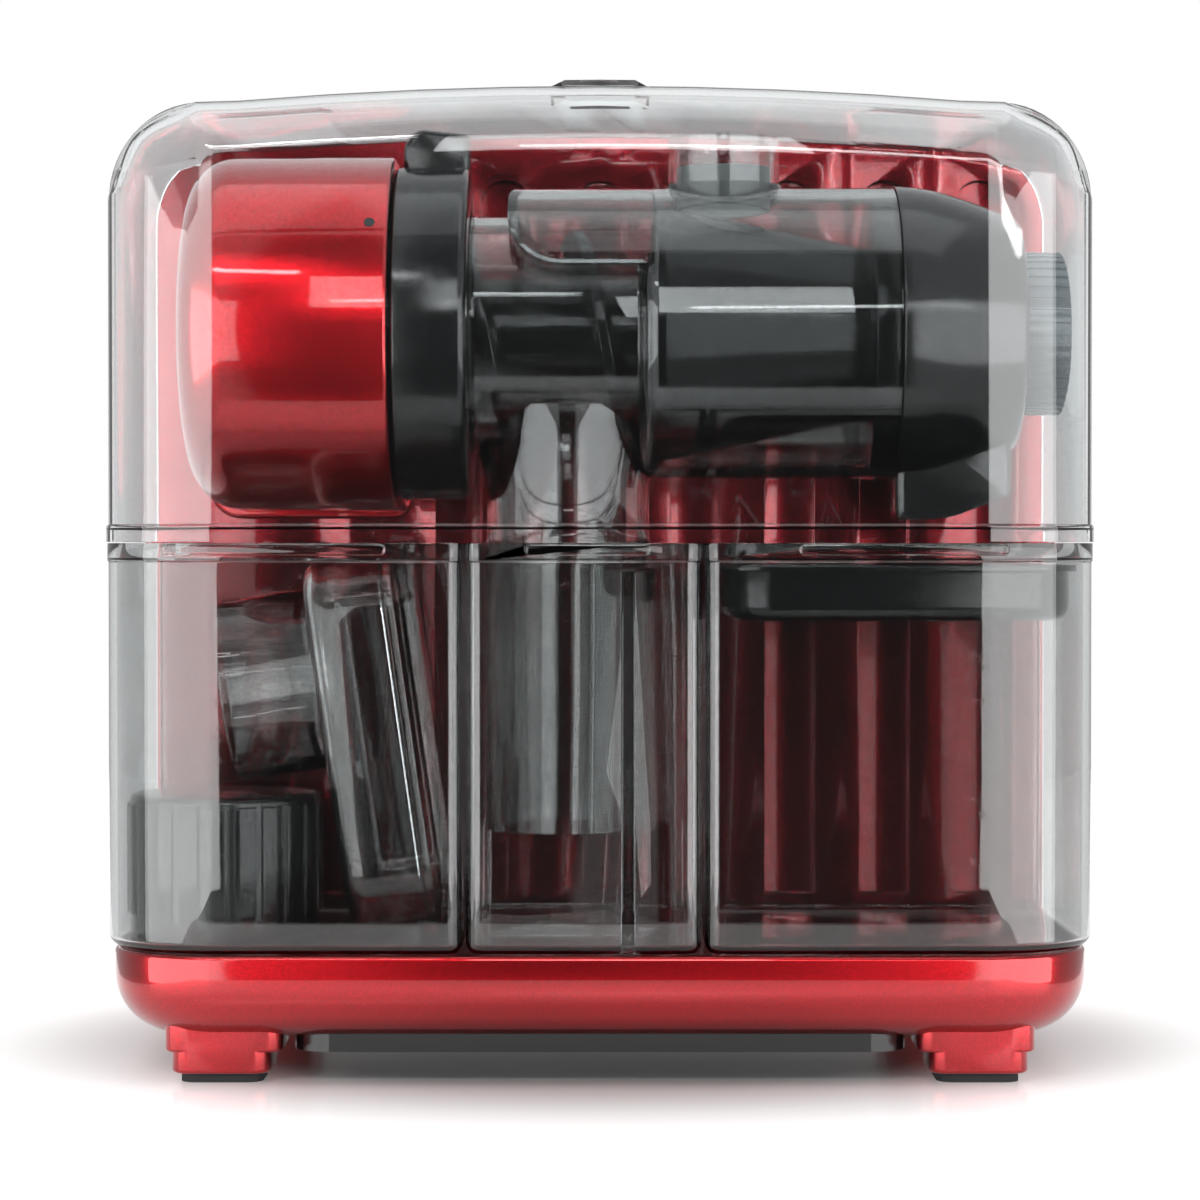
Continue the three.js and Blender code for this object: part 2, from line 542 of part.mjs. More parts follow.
// ---------- drum cap and pressure knob ----------
function drumCap() {
  const shell = turnedX([
    [94.2, 0], [94.2, 47.5], [106, 46.2], [118, 43.2], [130, 39], [133.4, 36.6], [134.2, 34], [134.2, 0],
  ], 24);
  const hollow = turnedX([
    [88, 0], [88, 44.4], [106, 43], [118, 40], [128, 36.4], [130.8, 33], [130.8, 0],
  ], 24);
  const spoutView = new THREE.Shape();
  spoutView.moveTo(94.2, AXIS_Z - 24);
  spoutView.lineTo(94.2, AXIS_Z - 58);
  spoutView.quadraticCurveTo(94.2, AXIS_Z - 60, 96.8, AXIS_Z - 60);
  spoutView.lineTo(110, AXIS_Z - 59.6);
  spoutView.lineTo(131, AXIS_Z - 52);
  spoutView.lineTo(131, AXIS_Z - 24);
  const spout = alongY(spoutView, AXIS_Y - 15, AXIS_Y + 15, 4);
  const spoutBore = box(96.8, 128.4, AXIS_Y - 12.4, AXIS_Y + 12.4, AXIS_Z - 70, AXIS_Z - 24);
  const boss = tubeX(112, 133, 12.5, 5.5, AXIS_Y, AXIS_Z, 16);
  const pinSeat = tubeX(99.4, 113.6, 12.5, 8.5, AXIS_Y, AXIS_Z, 16);
  const spindleHole = rodX(108, 150, 5.5, AXIS_Y, AXIS_Z, 16);
  return joined([shell, spout]).subtract(hollow).subtract(spoutBore)
    .add(joined([boss, pinSeat])).subtract(spindleHole);
}

function pressureKnob() {
  const ribs = 18;
  const outline = new THREE.Shape();
  for (let i = 0; i < ribs * 4; i += 1) {
    const angle = i * 2 * Math.PI / (ribs * 4);
    const radius = i % 4 < 2 ? 26.4 : 25.4;
    if (i === 0) outline.moveTo(AXIS_Y + radius, AXIS_Z);
    else outline.lineTo(AXIS_Y + radius * Math.cos(angle), AXIS_Z + radius * Math.sin(angle));
  }
  const grip = alongX(outline, 134.6, 148.6);
  const cap = turnedX([[148.4, 0], [148.4, 24], [150.6, 23.4], [151.8, 21.5], [151.8, 0]], 28);
  const spindle = rodX(115, 136, 5, AXIS_Y, AXIS_Z, 12);
  return joined([grip, cap, spindle]);
}

// ---------- drive train ----------
// Each stage has its tooth counts, its module and the direction in degrees to the next faster axis.
const stages = {
  output: { pinion: 13, wheel: 40, module: 1.8, bearing: -20 },
  second: { pinion: 13, wheel: 39, module: 1.5, bearing: -10 },
  first: { pinion: 13, wheel: 42, module: 1.25, bearing: -55 },
};
const spacing = ({ pinion, wheel, module }) => (pinion + wheel) * module / 2 + CENTRE_SLACK;

function nextAxis(from, stage) {
  const angle = THREE.MathUtils.degToRad(stage.bearing);
  return {
    y: from.y + spacing(stage) * Math.cos(angle),
    z: from.z + spacing(stage) * Math.sin(angle),
  };
}
const outputAxis = { y: AXIS_Y, z: AXIS_Z };
const secondAxis = nextAxis(outputAxis, stages.output);
const firstAxis = nextAxis(secondAxis, stages.second);
const motorAxis = nextAxis(firstAxis, stages.first);

// The wheel carries a tooth towards its pinion, and the pinion a gap towards the wheel.
function wheelSolid(stage, at, x0, x1) {
  const turn = THREE.MathUtils.degToRad(stage.bearing);
  return alongX(gearOutline(stage.wheel, stage.module, turn), x0, x1).translate([0, at.y, at.z]);
}
function pinionSolid(stage, at, x0, x1) {
  const turn = THREE.MathUtils.degToRad(stage.bearing + 180) + Math.PI / stage.pinion;
  return alongX(gearOutline(stage.pinion, stage.module, turn), x0, x1).translate([0, at.y, at.z]);
}

const IDLER_SHAFT = 3;
const MOTOR_SHAFT_RADIUS = 4;
const STATOR = { left: -58, right: -14, half: 36, bore: 25.2 };
const GEAR_PLATE_LEFT = -121.6;
const GEAR_PLATE_RIGHT = -77.6;

function driveTrain() {
  const secondBore = rodX(-130, -70, IDLER_SHAFT + 0.15, secondAxis.y, secondAxis.z);
  const firstBore = rodX(-130, -70, IDLER_SHAFT + 0.15, firstAxis.y, firstAxis.z);
  const outputGear = wheelSolid(stages.output, outputAxis, -95, -85)
    .add(tubeX(-99, -84, 13, SHAFT_RADIUS + 0.15, AXIS_Y, AXIS_Z, 18))
    .subtract(rodX(-130, -70, SHAFT_RADIUS + 0.15, AXIS_Y, AXIS_Z, 18));
  const secondGear = pinionSolid(stages.output, secondAxis, -96, -83)
    .add(wheelSolid(stages.second, secondAxis, -107, -99))
    .add(rodX(-99.5, -95.5, 8, secondAxis.y, secondAxis.z, 20))
    .subtract(secondBore);
  const firstGear = pinionSolid(stages.second, firstAxis, -108, -98)
    .add(wheelSolid(stages.first, firstAxis, -118, -112))
    .add(rodX(-112.5, -107.5, 7, firstAxis.y, firstAxis.z, 20))
    .subtract(firstBore);
  const outputShaft = rodX(-126, -64, SHAFT_RADIUS, AXIS_Y, AXIS_Z, 18).add(box(
    -64.5, -44, AXIS_Y - DRIVE_SQUARE / 2, AXIS_Y + DRIVE_SQUARE / 2,
    AXIS_Z - DRIVE_SQUARE / 2, AXIS_Z + DRIVE_SQUARE / 2,
  ));
  return [
    piece('output_gear', outputGear, gearNylon),
    piece('output_shaft', outputShaft, steel),
    piece('output_bearing', tubeX(HEAD_RIGHT - 10, HEAD_RIGHT - 3, 12.2, SHAFT_RADIUS + 0.2, AXIS_Y, AXIS_Z, 28), brass),
    piece('second_gear', secondGear, gearNylon),
    piece('second_gear_shaft', rodX(-125, HEAD_RIGHT - 1, IDLER_SHAFT, secondAxis.y, secondAxis.z), steel),
    piece('first_gear', firstGear, gearNylon),
    piece('first_gear_shaft', rodX(-125, -75, IDLER_SHAFT, firstAxis.y, firstAxis.z), steel),
  ];
}

// A rounded link plate around the shafts that it carries.
function linkPlate(x0, x1, axes, radius) {
  const links = axes.map((at) => rodX(x0, x1, radius, at.y, at.z, 16));
  for (let i = 1; i < axes.length; i += 1) {
    const [a, b] = [axes[i - 1], axes[i]];
    const run = Math.hypot(b.y - a.y, b.z - a.z);
    const bar = new THREE.BoxGeometry(x1 - x0, run, 1.6 * radius);
    bar.rotateX(Math.atan2(b.z - a.z, b.y - a.y));
    bar.translate((x0 + x1) / 2, (a.y + b.y) / 2, (a.z + b.z) / 2);
    links.push(solid(bar));
  }
  return joined(links);
}

// Distance and directions of the posts that tie the left-hand gear plate to the coupling plate.
const POST_DISTANCE = 45;
const postAngles = [60, 135, 225].map((angle) => THREE.MathUtils.degToRad(angle));

function gearPlates() {
  const left = linkPlate(GEAR_PLATE_LEFT - 1.6, GEAR_PLATE_LEFT, [secondAxis, firstAxis, motorAxis], 12)
    .add(rodX(GEAR_PLATE_LEFT - 1.6, GEAR_PLATE_LEFT, 50, AXIS_Y, AXIS_Z, 24));
  const posts = postAngles.map((angle) => rodX(
    GEAR_PLATE_LEFT - 1, HEAD_RIGHT - 4.3, 3.4,
    AXIS_Y + POST_DISTANCE * Math.cos(angle), AXIS_Z + POST_DISTANCE * Math.sin(angle), 10,
  ));
  const holes = joined([
    rodX(-130, -110, SHAFT_RADIUS + 0.15, AXIS_Y, AXIS_Z, 18),
    rodX(-130, -110, IDLER_SHAFT + 0.1, secondAxis.y, secondAxis.z),
    rodX(-130, -110, IDLER_SHAFT + 0.1, firstAxis.y, firstAxis.z),
    rodX(-130, -110, MOTOR_SHAFT_RADIUS + 0.3, motorAxis.y, motorAxis.z),
  ]);
  const right = linkPlate(GEAR_PLATE_RIGHT, GEAR_PLATE_RIGHT + 1.6, [firstAxis, motorAxis], 11)
    .add(rodX(GEAR_PLATE_RIGHT, STATOR.left - 12.8, 14, motorAxis.y, motorAxis.z, 16))
    .subtract(joined([
      rodX(-100, -60, IDLER_SHAFT + 0.1, firstAxis.y, firstAxis.z),
      rodX(-100, -60, MOTOR_SHAFT_RADIUS + 4.6, motorAxis.y, motorAxis.z),
    ]));
  return [
    piece('gear_plate_left', joined([left, ...posts]).subtract(holes), darkSteel),
    piece('gear_plate_right', right, darkSteel),
  ];
}

// ---------- motor ----------
function motor() {
  const { y, z } = motorAxis;
  const { left, right, half, bore } = STATOR;
  const stack = alongX(roundedRect(y - half, y + half, z - half, z + half, [10, 10, 10, 10]), left, right, 2)
    .subtract(rodX(left - 1, right + 1, bore, y, z, 24));
  const coil = (x0, x1) => tubeX(x0, x1, 31, 26, y, z, 20);
  const bracket = (x0, x1) => alongX(
    roundedRect(y - half, y + half, z - half, z + half, [10, 10, 10, 10]), x0, x1, 2,
  ).subtract(joined([
    rodX(x0 - 1, x1 + 1, 8.2, y, z, 16),
    ...[45, 135, 225, 315].map((angle) => rodX(
      x0 - 1, x1 + 1, 7, y + 21 * Math.cos(angle * Math.PI / 180), z + 21 * Math.sin(angle * Math.PI / 180), 8,
    )),
  ]));
  const bearing = (x0, x1) => tubeX(x0, x1, 8, MOTOR_SHAFT_RADIUS + 0.2, y, z, 14);
  const wallFace = COLUMN_FRONT + COLUMN_FRONT_WALL + GAP;
  const cradle = box(left - 6, right + 6, wallFace, wallFace + 1.3, 110, z + half)
    .add(box(left, right, wallFace, y + half - 2, z - half - 3.4, z - half - GAP));
  const blades = [];
  for (let i = 0; i < 9; i += 1) {
    const blade = new THREE.BoxGeometry(13, 22, 1.6).translate(0, 21, 0).rotateX(i * 2 * Math.PI / 9);
    blades.push(solid(blade.translate(8.5, y, z)));
  }
  const fan = joined([tubeX(0.5, 2.5, 33, MOTOR_SHAFT_RADIUS + 0.15, y, z, 24),
    tubeX(0.5, 15, 11, MOTOR_SHAFT_RADIUS + 0.15, y, z, 14), ...blades]);
  const pinion = pinionSolid(stages.first, motorAxis, -119, -111)
    .subtract(rodX(-130, -100, MOTOR_SHAFT_RADIUS + 0.15, y, z, 16));
  return [
    piece('motor_cradle', cradle, steel),
    piece('motor_stator', stack, darkSteel),
    piece('motor_coil_left', coil(left - 8, left - 0.4), copper),
    piece('motor_coil_right', coil(right + 0.4, right + 8), copper),
    piece('motor_rotor', tubeX(left + 1, right - 1, 24.6, MOTOR_SHAFT_RADIUS + 0.15, y, z, 20), steel),
    piece('motor_shaft', rodX(-122, 16, MOTOR_SHAFT_RADIUS, y, z, 16), steel),
    piece('motor_pinion', pinion, brass),
    piece('motor_bracket_left', bracket(left - 12.5, left - 8.4), steel),
    piece('motor_bracket_right', bracket(right + 8.4, right + 12.5), steel),
    piece('motor_bearing_left', bearing(left - 13, left - 8), brass),
    piece('motor_bearing_right', bearing(right + 8, right + 13), brass),
    piece('cooling_fan', fan, blackPlastic),
  ];
}

// ---------- hood ----------
function hoodBlock(inset, crownLift = 0) {
  const half = WIDTH / 2 - inset;
  const front = FRONT + inset;
  const bottom = inset ? 100 : HOOD_BOTTOM;
  const back = inset ? REAR : COLUMN_FRONT - GAP;
  const top = CROWN_TOP - inset + crownLift;
  return alongY(crownedOutline(half, bottom, top, SHOULDER_RADIUS - inset), front, back, 7)
    .intersect(alongZ(roundedRect(
      -half, half, front, 2 * REAR, [CORNER_RADIUS - inset, CORNER_RADIUS - inset, 1, 1],
    ), 0, 2 * WIDTH, 7))
    .intersect(alongX(roundedRect(
      front, 2 * REAR, 50, top, [1, 1, 1, HOOD_EDGE_RADIUS - inset],
    ), -WIDTH, WIDTH, 5));
}

function storageHood() {
  const pads = [-1, 1].map((side) => box(
    Math.min(side * 84, side * 131), Math.max(side * 84, side * 131), -70, 4, HOOD_BOTTOM, 2 * WIDTH,
  ));
  const raised = hoodBlock(0, 1.2).intersect(joined(pads));
  const tab = alongY(roundedRect(-14.4, 14.4, 290, CROWN_TOP + 2.6, [2, 2, 3, 3]), -82, -60, 3);
  return joined([hoodBlock(0), raised, tab]).subtract(hoodBlock(CLEAR_WALL));
}

// ---------- bins ----------
const REAR_CORNER = 5;
const SMALLEST_CORNER = 2;

function binPlan(x0, x1, inset, leftRadius, rightRadius) {
  const radii = [leftRadius, rightRadius, REAR_CORNER, REAR_CORNER];
  return roundedRect(
    x0 + inset, x1 - inset, FRONT + inset, BIN_BACK - inset,
    radii.map((radius) => Math.max(radius - inset, SMALLEST_CORNER)),
  );
}

function bin(x0, x1, leftRadius, rightRadius) {
  const segments = 5;
  return alongZ(binPlan(x0, x1, 0, leftRadius, rightRadius), BIN_BOTTOM, BIN_TOP, segments)
    .subtract(alongZ(binPlan(x0, x1, CLEAR_WALL, leftRadius, rightRadius), BIN_BOTTOM + 3, BIN_TOP + 1, segments))
    .subtract(alongZ(binPlan(x0, x1, 1.4, leftRadius, rightRadius), LEDGE, BIN_TOP + 1, segments));
}

const BIN_EDGES = { left: [-WIDTH / 2, -42.2], middle: [-41.2, 31.2], right: [32.2, WIDTH / 2] };

function middleBin() {
  const divider = box(7.4, 11, FRONT + 1.6, FRONT + 22, BIN_BOTTOM + 1, LEDGE);
  return bin(...BIN_EDGES.middle, 5, 5).add(divider);
}

// A shallow tray hung by its flange on the ledge inside the right-hand bin.
function dripTray() {
  const [x0, x1] = BIN_EDGES.right;
  const flange = alongZ(binPlan(x0, x1, 2, 5, CORNER_RADIUS), LEDGE + GAP, LEDGE + 2.4, 4);
  const pan = alongZ(binPlan(x0, x1, 9, 14, CORNER_RADIUS), 145, LEDGE + 1, 4);
  const hollow = alongZ(binPlan(x0, x1, 11, 14, CORNER_RADIUS), 147.1, LEDGE + 5, 4);
  return flange.add(pan).subtract(hollow);
}

// ---------- accessories kept in the left-hand bin ----------
const HOPPER = { height: 117, depth: 92, thickness: 28, wall: 2.2, collarRadius: 29.5, collarUp: 22 };

function hopper() {
  const { height, depth, thickness, wall, collarRadius, collarUp } = HOPPER;
  const outline = (inset) => roundedRect(
    -depth / 2 + inset, depth / 2 - inset, -height / 2 + inset, height / 2 - inset,
    [20 - inset, 20 - inset, 20 - inset, 20 - inset],
  );
  const dish = alongX(outline(0), 0, thickness, 5).subtract(alongX(outline(wall), wall, thickness + 1, 5));
  const collar = rodX(-31, wall, collarRadius, 0, collarUp, 22);
  const bore = rodX(-32, thickness, collarRadius - 2.4, 0, collarUp, 22);
  const mesh = piece('hopper', dish.add(collar).subtract(bore), smokeClear);
  mesh.position.set(-86, AXIS_Y, 102.4);
  mesh.rotation.y = THREE.MathUtils.degToRad(-8);
  return mesh;
}

function flutedCap() {
  const flutes = 20;
  const outline = new THREE.Shape();
  for (let i = 0; i < flutes * 4; i += 1) {
    const angle = i * 2 * Math.PI / (flutes * 4);
    const radius = i % 4 === 0 ? 30.2 : 31.3;
    if (i === 0) outline.moveTo(radius, 0);
    else outline.lineTo(radius * Math.cos(angle), radius * Math.sin(angle));
  }
  const bottom = BIN_BOTTOM + 3 + GAP;
  const body = alongZ(outline, bottom, 87).add(rodZ(0, 0, 29.4, 86.5, 88.6, 26));
  const mesh = piece('fluted_cap', body.subtract(rodZ(0, 0, 27.6, bottom - 1, 85.8, 26)), blackPlastic);
  mesh.position.set(-119.5, -60, 0);
  return mesh;
}

// ---------- assembly ----------
const machine = new THREE.Group();
machine.add(
  piece('base_housing', baseHousing(), redLacquer),
  piece('bottom_cover', bottomCover(), blackPlastic),
  ...footPads(),
  piece('column_housing', columnHousing(), redLacquer),
  piece('rear_cover', rearCover(), redLacquer),
  ...rearScrews(),
  piece('motor_head', motorHead(), redLacquer),
  piece('coupling_plate', couplingPlate(), blackPlastic),
  piece('switch_frame', switchFrame(), blackPlastic),
  piece('cord_gland', cordGland(), rubber),
  piece('control_board', controlBoard(), boardGreen),
  ...gearPlates(),
);
const drivetrain = new THREE.Group();
drivetrain.add(...driveTrain(), ...motor());
const switchPieces = new THREE.Group();
switchPieces.add(piece('switch_rocker', switchRocker(), blackPlastic));
const juicingSet = new THREE.Group();
juicingSet.add(
  piece('lock_ring', lockRing(), blackPlastic),
  piece('drum', drumBody(), smokeClear),
  piece('drum_seal', drumSeal(), silicone),
  piece('outlet_seal', outletSeal(), silicone),
  piece('auger', auger(), blackPlastic),
  piece('juice_screen', juiceScreen(), blackPlastic),
  piece('drum_cap', drumCap(), blackPlastic),
  piece('pressure_knob', pressureKnob(), greyPlastic),
);
const storage = new THREE.Group();
storage.add(
  piece('storage_hood', storageHood(), clearHood),
  piece('left_bin', bin(...BIN_EDGES.left, CORNER_RADIUS, 5), smokeClear),
  piece('middle_bin', middleBin(), smokeClear),
  piece('right_bin', bin(...BIN_EDGES.right, 5, CORNER_RADIUS), smokeClear),
  piece('drip_tray', dripTray(), blackPlastic),
  hopper(),
  flutedCap(),
);

const juicer = new THREE.Group();
juicer.add(machine, drivetrain, switchPieces, juicingSet, storage);

export default juicer;
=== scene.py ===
import json
import math

import bpy
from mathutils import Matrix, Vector


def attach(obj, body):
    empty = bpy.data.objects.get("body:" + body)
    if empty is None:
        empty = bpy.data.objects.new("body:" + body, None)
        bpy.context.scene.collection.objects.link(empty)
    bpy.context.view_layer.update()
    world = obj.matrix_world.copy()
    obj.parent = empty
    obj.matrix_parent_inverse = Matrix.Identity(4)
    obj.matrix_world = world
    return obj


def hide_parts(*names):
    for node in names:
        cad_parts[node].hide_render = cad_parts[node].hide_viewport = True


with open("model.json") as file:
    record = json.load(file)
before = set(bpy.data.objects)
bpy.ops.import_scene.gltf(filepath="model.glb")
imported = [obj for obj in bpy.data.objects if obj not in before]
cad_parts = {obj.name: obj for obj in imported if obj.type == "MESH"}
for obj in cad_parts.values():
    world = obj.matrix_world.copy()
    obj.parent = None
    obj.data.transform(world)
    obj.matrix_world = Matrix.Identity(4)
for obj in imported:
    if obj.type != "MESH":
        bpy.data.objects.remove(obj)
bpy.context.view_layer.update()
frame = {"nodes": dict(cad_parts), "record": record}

mm = 0.001
drumAxis = Vector((0, -42, 234.7))   # auger, drum, ring, cap and knob turn about this line along X
looks = {}


# camera: one metre in front of the machine, looking very slightly down
camera = {"place": (0, -1.1025, 0.1651), "aim": (0, -0.1025, 0.1498), "lens": 98.3}

bpy.ops.object.camera_add(location=camera["place"])
eye = bpy.context.object
eye.rotation_euler = (Vector(camera["aim"]) - Vector(camera["place"])).to_track_quat("-Z", "Y").to_euler()
eye.data.lens = camera["lens"]
eye.data.clip_end = 20
bpy.context.scene.camera = eye


# small modelling tools: all places and sizes are given in millimetres
def leaveEdit():
    bpy.ops.object.mode_set(mode="OBJECT")


def dropSelection():
    if bpy.context.mode != "OBJECT":
        leaveEdit()
    bpy.ops.object.select_all(action="DESELECT")


def hold(piece):
    dropSelection()
    piece.select_set(True)
    bpy.context.view_layer.objects.active = piece


def pick(piece, kind, test):   # leaves the piece in edit mode with what passes the test selected
    hold(piece)
    bpy.ops.object.mode_set(mode="EDIT")
    bpy.ops.mesh.select_mode(type=kind)
    bpy.ops.mesh.select_all(action="DESELECT")
    leaveEdit()
    mesh = piece.data
    if kind == "VERT":
        for vertex in mesh.vertices:
            vertex.select = bool(test(vertex.co / mm))
    elif kind == "EDGE":
        for edge in mesh.edges:
            a, b = (mesh.vertices[i].co / mm for i in edge.vertices)
            edge.select = bool(test((a + b) / 2, (b - a).normalized()))
    else:
        for face in mesh.polygons:
            face.select = bool(test(face.center / mm, face.normal))
    bpy.ops.object.mode_set(mode="EDIT")


def everything(piece):   # leaves the piece in edit mode with all of it selected
    pick(piece, "VERT", lambda at: True)


def tidyMesh(piece):   # closes seams and poles and turns every face outwards
    everything(piece)
    bpy.ops.mesh.remove_doubles(threshold=0.002 * mm)
    bpy.ops.mesh.normals_make_consistent(inside=False)
    leaveEdit()


def rename(piece, called):
    piece.name = called
    piece.data.name = called
    return piece


def block(called, low, high):
    dropSelection()
    bpy.ops.mesh.primitive_cube_add(size=1)
    piece = rename(bpy.context.object, called)
    low, high = Vector(low) * mm, Vector(high) * mm
    bpy.ops.object.mode_set(mode="EDIT")
    bpy.ops.transform.resize(value=high - low, center_override=(0, 0, 0))
    bpy.ops.transform.translate(value=(low + high) / 2)
    leaveEdit()
    return piece


def rod(called, low, high, radius, sides=64, topRadius=None):   # a round bar or cone between two points
    dropSelection()
    low, high = Vector(low) * mm, Vector(high) * mm
    turn = (high - low).to_track_quat("Z", "Y").to_euler()
    far = radius if topRadius is None else topRadius
    bpy.ops.mesh.primitive_cone_add(vertices=sides, radius1=radius * mm, radius2=far * mm,
                                    depth=(high - low).length, rotation=turn, location=(low + high) / 2)
    piece = rename(bpy.context.object, called)
    bpy.ops.object.transform_apply(location=True, rotation=True, scale=True)
    return piece


def upright(at, way):   # which way an edge runs, for the tests below
    return abs(way.z) > 0.9


def frontToBack(at, way):
    return abs(way.y) > 0.9


def sideToSide(at, way):
    return abs(way.x) > 0.9


def roundEdges(piece, radius, steps, test):   # the test gets an edge's middle and its direction
    pick(piece, "EDGE", test)
    bpy.ops.mesh.bevel(offset=radius * mm, segments=steps, affect="EDGES", clamp_overlap=False)
    leaveEdit()


def slide(piece, test, step):   # moves the vertices that pass the test
    pick(piece, "VERT", test)
    bpy.ops.transform.translate(value=Vector(step) * mm)
    leaveEdit()


def swell(piece, test, factors, centre):   # scales the vertices that pass the test about a centre
    pick(piece, "VERT", test)
    bpy.ops.transform.resize(value=factors, center_override=Vector(centre) * mm)
    leaveEdit()


def sliceAt(piece, point, normal):   # adds a ring of edges where a plane cuts the piece
    everything(piece)
    bpy.ops.mesh.bisect(plane_co=Vector(point) * mm, plane_no=normal)
    leaveEdit()


def dropFaces(piece, test):
    pick(piece, "FACE", test)
    bpy.ops.mesh.delete(type="FACE")
    leaveEdit()


def drawLine(called, points, closed):   # points are (place, rounding radius)
    dropSelection()
    bpy.ops.mesh.primitive_plane_add(size=mm)
    piece = rename(bpy.context.object, called)
    bpy.ops.object.mode_set(mode="EDIT")
    bpy.ops.mesh.merge(type="CENTER")
    places = [Vector(place) * mm for place, radius in points]
    bpy.ops.transform.translate(value=places[0])
    for here, there in zip(places, places[1:]):
        bpy.ops.mesh.extrude_vertices_move(TRANSFORM_OT_translate={"value": there - here})
    if closed:
        ends = (places[0] / mm, places[-1] / mm)
        pick(piece, "VERT", lambda place: min((place - end).length for end in ends) < 1e-4)
        bpy.ops.mesh.edge_face_add()
    for place, radius in points:
        if radius:
            corner = Vector(place)
            pick(piece, "VERT", lambda at: (at - corner).length < 1e-3)
            bpy.ops.mesh.bevel(offset=radius * mm, segments=7, affect="VERTICES", clamp_overlap=False)
    leaveEdit()
    return piece


# a profile of (place along the axis, radius, rounding) spun about a line along X or Z
def turned(called, profile, steps=96, closed=False, about=drumAxis, along="X"):
    axis = {"X": (1, 0, 0), "Z": (0, 0, 1)}[along]
    places = []
    for step, radius, rounding in profile:
        if along == "X":
            places.append(((step, about.y, about.z + radius), rounding))
        else:
            places.append(((about.x + radius, about.y, step), rounding))
    piece = drawLine(called, places, closed)
    everything(piece)
    bpy.ops.mesh.spin(steps=steps, angle=2 * math.pi, center=Vector(about) * mm, axis=axis)
    tidyMesh(piece)
    return piece


def pulled(called, outline, step):   # a closed outline of (place, rounding) pulled along step
    piece = drawLine(called, outline, True)
    everything(piece)
    bpy.ops.mesh.edge_face_add()
    bpy.ops.mesh.extrude_region_move(TRANSFORM_OT_translate={"value": Vector(step) * mm})
    tidyMesh(piece)
    return piece


def useModifier(piece, kind, settings):   # adds a modifier and applies it
    hold(piece)
    made = piece.modifiers.new(kind.title(), kind)
    for key, value in settings.items():
        setattr(made, key, value)
    bpy.ops.object.modifier_apply(modifier=made.name)


def combine(piece, tool, how):   # how is UNION, DIFFERENCE or INTERSECT; the tool is used up
    useModifier(piece, "BOOLEAN", {"operation": how, "object": tool, "solver": "EXACT"})
    bpy.data.objects.remove(tool)


def cut(piece, tool):
    combine(piece, tool, "DIFFERENCE")


def weld(piece, tool):
    combine(piece, tool, "UNION")


def softenEdges(piece, width, steps=2, angle=40):
    useModifier(piece, "BEVEL", {"width": width * mm, "segments": steps, "limit_method": "ANGLE",
                                 "angle_limit": math.radians(angle), "use_clamp_overlap": True})


def thicken(piece, wall):
    useModifier(piece, "SOLIDIFY", {"thickness": wall * mm, "offset": -1, "use_even_offset": True})


# finishes a piece: smooth shading below the angle, its look, its body and the CAD nodes it stands in for
def settle(piece, look, body, nodes=(), angle=32):
    tidyMesh(piece)
    hold(piece)
    bpy.ops.object.shade_smooth_by_angle(angle=math.radians(angle))
    piece.data.materials.clear()
    piece.data.materials.append(looks[look])
    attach(piece, body)
    if nodes:
        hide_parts(*nodes)


# materials
def linear(code):   # sRGB hex to the linear colour that the shaders take
    parts = [int(code[i:i + 2], 16) / 255 for i in (1, 3, 5)]
    return (*(c / 12.92 if c <= 0.04045 else ((c + 0.055) / 1.055) ** 2.4 for c in parts), 1)


def addNode(tree, kind, settings=None, links=None):
    made = tree.nodes.new(kind)
    for key, value in (settings or {}).items():
        if isinstance(key, str) and hasattr(made, key):
            setattr(made, key, value)
        else:
            made.inputs[key].default_value = value
    for key, source in (links or {}).items():
        tree.links.new(source, made.inputs[key])
    return made


def perMillimetre(size):   # the scale of a pattern whose cells are this many millimetres
    return 1 / (size * mm)


def startLook(called):
    material = bpy.data.materials.new(called)
    material.use_nodes = True
    tree = material.node_tree
    tree.nodes.clear()
    output = addNode(tree, "ShaderNodeOutputMaterial")
    place = addNode(tree, "ShaderNodeTexCoord").outputs["Object"]
    looks[called] = material
    return tree, output, place


